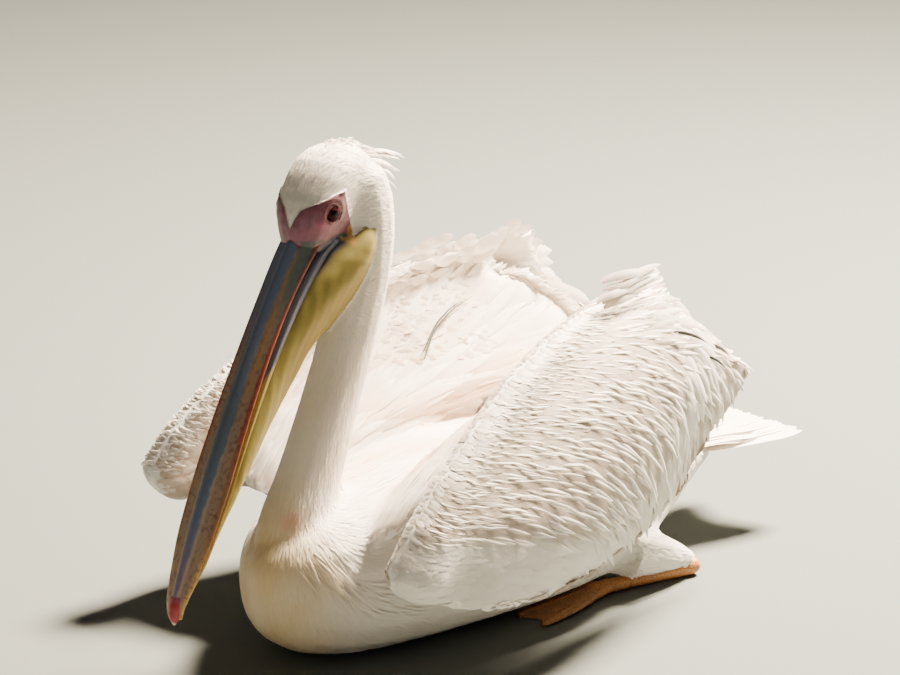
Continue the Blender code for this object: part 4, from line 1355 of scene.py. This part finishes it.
def makeWing(side):
    sign = sides[side]
    across = facing[:, 0] * sign
    whole = isPart(f"wing_{side}") | isPart(f"forewing_{side}")
    outer = whole & (across > -0.1)
    coat(f"{side}WingFeathers", body, outer, wingFlow(), wingSide, wingBase, tint=wingTint)
    loose = outer & (across > 0.0) & (ruffled(at) > 0.5)
    coat(f"{side}Coverts", body, loose, wingFlow(), wingSide, wingStrands)
    lining = whole & ~outer & ((at[:, 2] > 0.13) | (facing[:, 2] > -0.35))
    coat(f"{side}WingLining", body, lining, wingFlow(0.6), wingSide, innerCoat, tint=liningShade)
    ridge = whole & (across > -0.65) & (across < 0.12) & (facing[:, 2] > -0.1) & (ruffled(at) > 0.5)
    coat(f"{side}EdgeFeathers", body, ridge, wingFlow(0.8), wingSide, edgeCoat)
    upper = (whole | isPart(f"shoulder_{side}")) & ~outer & (at[:, 2] > 0.27) & (at[:, 1] < 0.07)
    coat(f"{side}UpperLining", body, upper, wingFlow(0.5), wingSide, upperLining, tint=liningShade)
    makeRim(f"{side}Tertials", side, rimFeathers, False, 4, rimStyle)
    makeRim(f"{side}InnerTertials", side, raisedFeathers if sign < 0 else rimFeathers, True, 4, roundStyle)


for side in sides:
    makeWing(side)
makeRim("elbowTuft", "left", tuftFeathers, False, 2, dict(rimStyle, shade=0.8), lean=0.35)
wristTop = isPart("forewing_right") & (at[:, 1] < -0.06) & (facing[:, 2] > 0.40)
coat("wristFringe", body, wristTop, wingFlow(0.5), wingSide, wristFringe)

# shoulders and back
backCoat = dict(
    seeds=200000, along=rearward(0.012, 0.019, -0.24, 0.0), across=rearward(0.0038, 0.0080, -0.24, 0.0),
    length=rearward(0.042, 0.100, -0.24, 0.02), width=rearward(0.0060, 0.0150, -0.24, 0.0), lift=0.0014,
    outline="pointed", camber=0.12, rows=8, sway=0.06, roll=0.07, shade=0.55, past=0.020,
)


def backFlow(points, normals):
    # Back along the valley, climbing towards the elbows.
    sign = np.sign(points[:, 0])
    rise = ease(np.abs(points[:, 0]), 0.025, 0.10)
    return np.stack([0.20 * sign * rise, np.ones(len(points)), 0.45 * rise], 1)


upperBack = isPart("trunk") & (at[:, 2] > 0.150) & (at[:, 1] > -0.22)
coat("backFeathers", body, isPart("shoulder") | upperBack, backFlow, aroundBody, backCoat)

# shanks
shankCoat = dict(
    seeds=400000, along=0.008, across=0.0036, length=0.022, width=0.0058, lift=0.0006, outline="pointed",
    rows=4, shade=0.3,
)
for side, sign in sides.items():
    heel = np.array([0.1175 * sign, 0.256, 0.012])
    coat(f"{side}ShankFeathers", body, isPart(f"shank_{side}"), lambda p, n: heel - p, wingSide, shankCoat)

# tail: the outermost feathers lie lowest, and the coverts on top
tail = dict(count=22, width=0.0300, arch=0.004, stack=0.0050, coverts=26, covertWidth=0.022)


def makeTail():
    v = np.linspace(0, 1, 9)
    arch = tail["arch"] * np.sin(np.pi * v)
    spread = np.linspace(-1, 1, tail["count"])
    paths = []
    for rank, q in enumerate(spread[np.argsort(-np.abs(spread))]):
        root = np.array([0.034 * q, 0.330, 0.1130])
        tip = np.array([0.062 * q, 0.488 + 0.004 * q - 0.020 * (1 - abs(q)), 0.1150 - 0.003 * abs(q)])
        line = mix(root, tip + (0, chance.uniform(-0.008, 0.002), 0), v[:, None])
        line[:, 2] += tail["stack"] * rank / len(spread) + arch * (1 - abs(q))
        paths.append(line)
    for k in range(tail["coverts"]):
        q = chance.uniform(-1, 1)
        tip = np.array([0.050 * q, chance.uniform(0.395, 0.440), 0.1180 - 0.004 * abs(q)])
        line = mix(np.array([0.036 * q, 0.318, 0.1200]), tip, v[:, None])
        line[:, 2] += arch + 0.0002 * k
        paths.append(line)
    width = np.repeat((tail["width"], tail["covertWidth"]), (tail["count"], tail["coverts"]))
    style = dict(outline="oval", camber=0.10, columns=5, roll=0.05, shade=0.25, base=0.0, varied=0.04)
    layAlong("tailFeathers", np.array(paths), (0.0, 0.0, 1.0), width, style, aroundBody, replaced=["tail"])


# folded primaries, black, one above the other along the flanks, and the dark feathers of the wing's rear
flight = dict(count=11, width=0.020, fan=0.016, places=(-0.150, -0.040, 0.080, 0.190, 0.280, 0.335),
              out=(0.203, 0.204, 0.178, 0.130, 0.098, 0.083), high=(0.130, 0.133, 0.136, 0.143, 0.155, 0.160))
# tip y and z, dip, length and width, as for the rear rim
darkFeathers = (
    (0.208, 0.304, 24, 0.060, 0.0036),
    (0.259, 0.275, 29, 0.055, 0.0036),
    (0.246, 0.263, 33, 0.050, 0.0030),
)


def makePrimaries():
    lineX, lineZ = curve(flight["places"], flight["out"]), curve(flight["places"], flight["high"])
    style = dict(outline="pointed", camber=0.08, columns=5, roll=0.05, shade=0.2, base=0.0)
    raised = dict(rimStyle, base=0.0050, outline="strand")
    black = dict(tint=marks["quill"], slot="quill")
    for side, sign in sides.items():
        paths = []
        for share in np.linspace(0, 1, flight["count"]):
            y = np.linspace(-0.040 + 0.04 * share, 0.19 + 0.105 * share, 10)
            z = lineZ(y) + (0.5 - share) * flight["fan"] * np.sin(np.pi * np.clip((y + 0.17) / 0.55, 0, 1))
            paths.append(np.stack([sign * (lineX(y) + 0.002 * (share - 0.5)), y, z], 1))
        layAlong(f"{side}Primaries", np.array(paths), (sign, 0.25, 0.0), flight["width"], style, wingSide,
                 replaced=[f"primaries_{side}"], **black)
        makeRim(f"{side}DarkTertials", side, darkFeathers, False, 1, raised, **black)


# painted shadow: two thin black strips bent over the far wing's inner face, where dark slits of shade lie
# between the feathers
shadowSlits = (
    ((-0.073, -0.004, 0.268), (-0.080, 0.018, 0.300), (-0.086, 0.050, 0.318), (-0.090, 0.092, 0.328)),
    ((-0.074, -0.003, 0.280), (-0.082, 0.026, 0.311), (-0.087, 0.052, 0.322), (-0.089, 0.076, 0.326)),
)


def makeShadowSlits():
    v = np.linspace(0, 1, 12)
    lines = [[curve((0, 0.33, 0.67, 1), axis)(v) for axis in zip(*line)] for line in shadowSlits]
    path = np.array(lines).transpose(0, 2, 1)
    onSkin, normals = body.nearest(path.reshape(-1, 3))
    raised = (onSkin + normals * 0.0055).reshape(path.shape)
    style = dict(outline="strand", camber=0.3, roll=0.0, shade=0.0, base=0.0)
    vanes("shadowSlits", raised, normals.reshape(path.shape), np.full(len(path), 0.0022), np.zeros(len(path)),
          style, wingSide(path[:, 0]), tint=marks["quill"], slot="quill")


makeTail()
makePrimaries()
makeShadowSlits()
print("feathers laid")

# camera, light, floor
camera = dict(place=(2.826, -2.447, 1.452), azimuth=49.42, elevation=16.95, lens=138.4)
lights = (  # name, place, target, watts, size, colour
    ("key", (-0.10, 1.98, 3.03), (0, 0, 0.2), 2250, 0.9, "#FFEBCF"),
    ("fill", (1.8, -3.0, 1.6), (0, 0, 0.25), 8, 2.5, "#FFEEDF"),
)
studio = dict(floor="#646A68", floorSize=14, sky="#E6DDD3", skyPower=0.11)


def makeCamera():
    data = bpy.data.cameras.new("camera")
    data.lens = camera["lens"]
    data.sensor_width = 36
    item = addObject("camera", data)
    item.location = camera["place"]
    item.rotation_euler = (math.radians(90 - camera["elevation"]), 0, math.radians(camera["azimuth"]))
    bpy.context.scene.camera = item


def makeLight(name, place, target, power, size, colour):
    data = bpy.data.lights.new(name, "AREA")
    data.energy = power
    data.size = size
    data.color = linear(colour)
    item = addObject(name, data)
    item.location = place
    item.rotation_euler = (Vector(target) - Vector(place)).to_track_quat("-Z", "Y").to_euler()


def makeStudio():
    bm = bmesh.new()
    bmesh.ops.create_grid(bm, x_segments=1, y_segments=1, size=studio["floorSize"])
    floor = addObject("floor", meshFrom(bm, "floor"))
    # matt studio paint, rolled on
    material, tree, shader = newMaterial("floorPaint", Roughness=0.9)
    plug(tree, shader, {"Base Color": studio["floor"]})
    floor.data.materials.append(material)
    world = bpy.data.worlds.new("studio")
    bpy.context.scene.world = world
    world.use_nodes = True
    plug(world.node_tree, world.node_tree.nodes["Background"], {0: studio["sky"], 1: studio["skyPower"]})
    for light in lights:
        makeLight(*light)


makeCamera()
makeStudio()
print("studio ready")
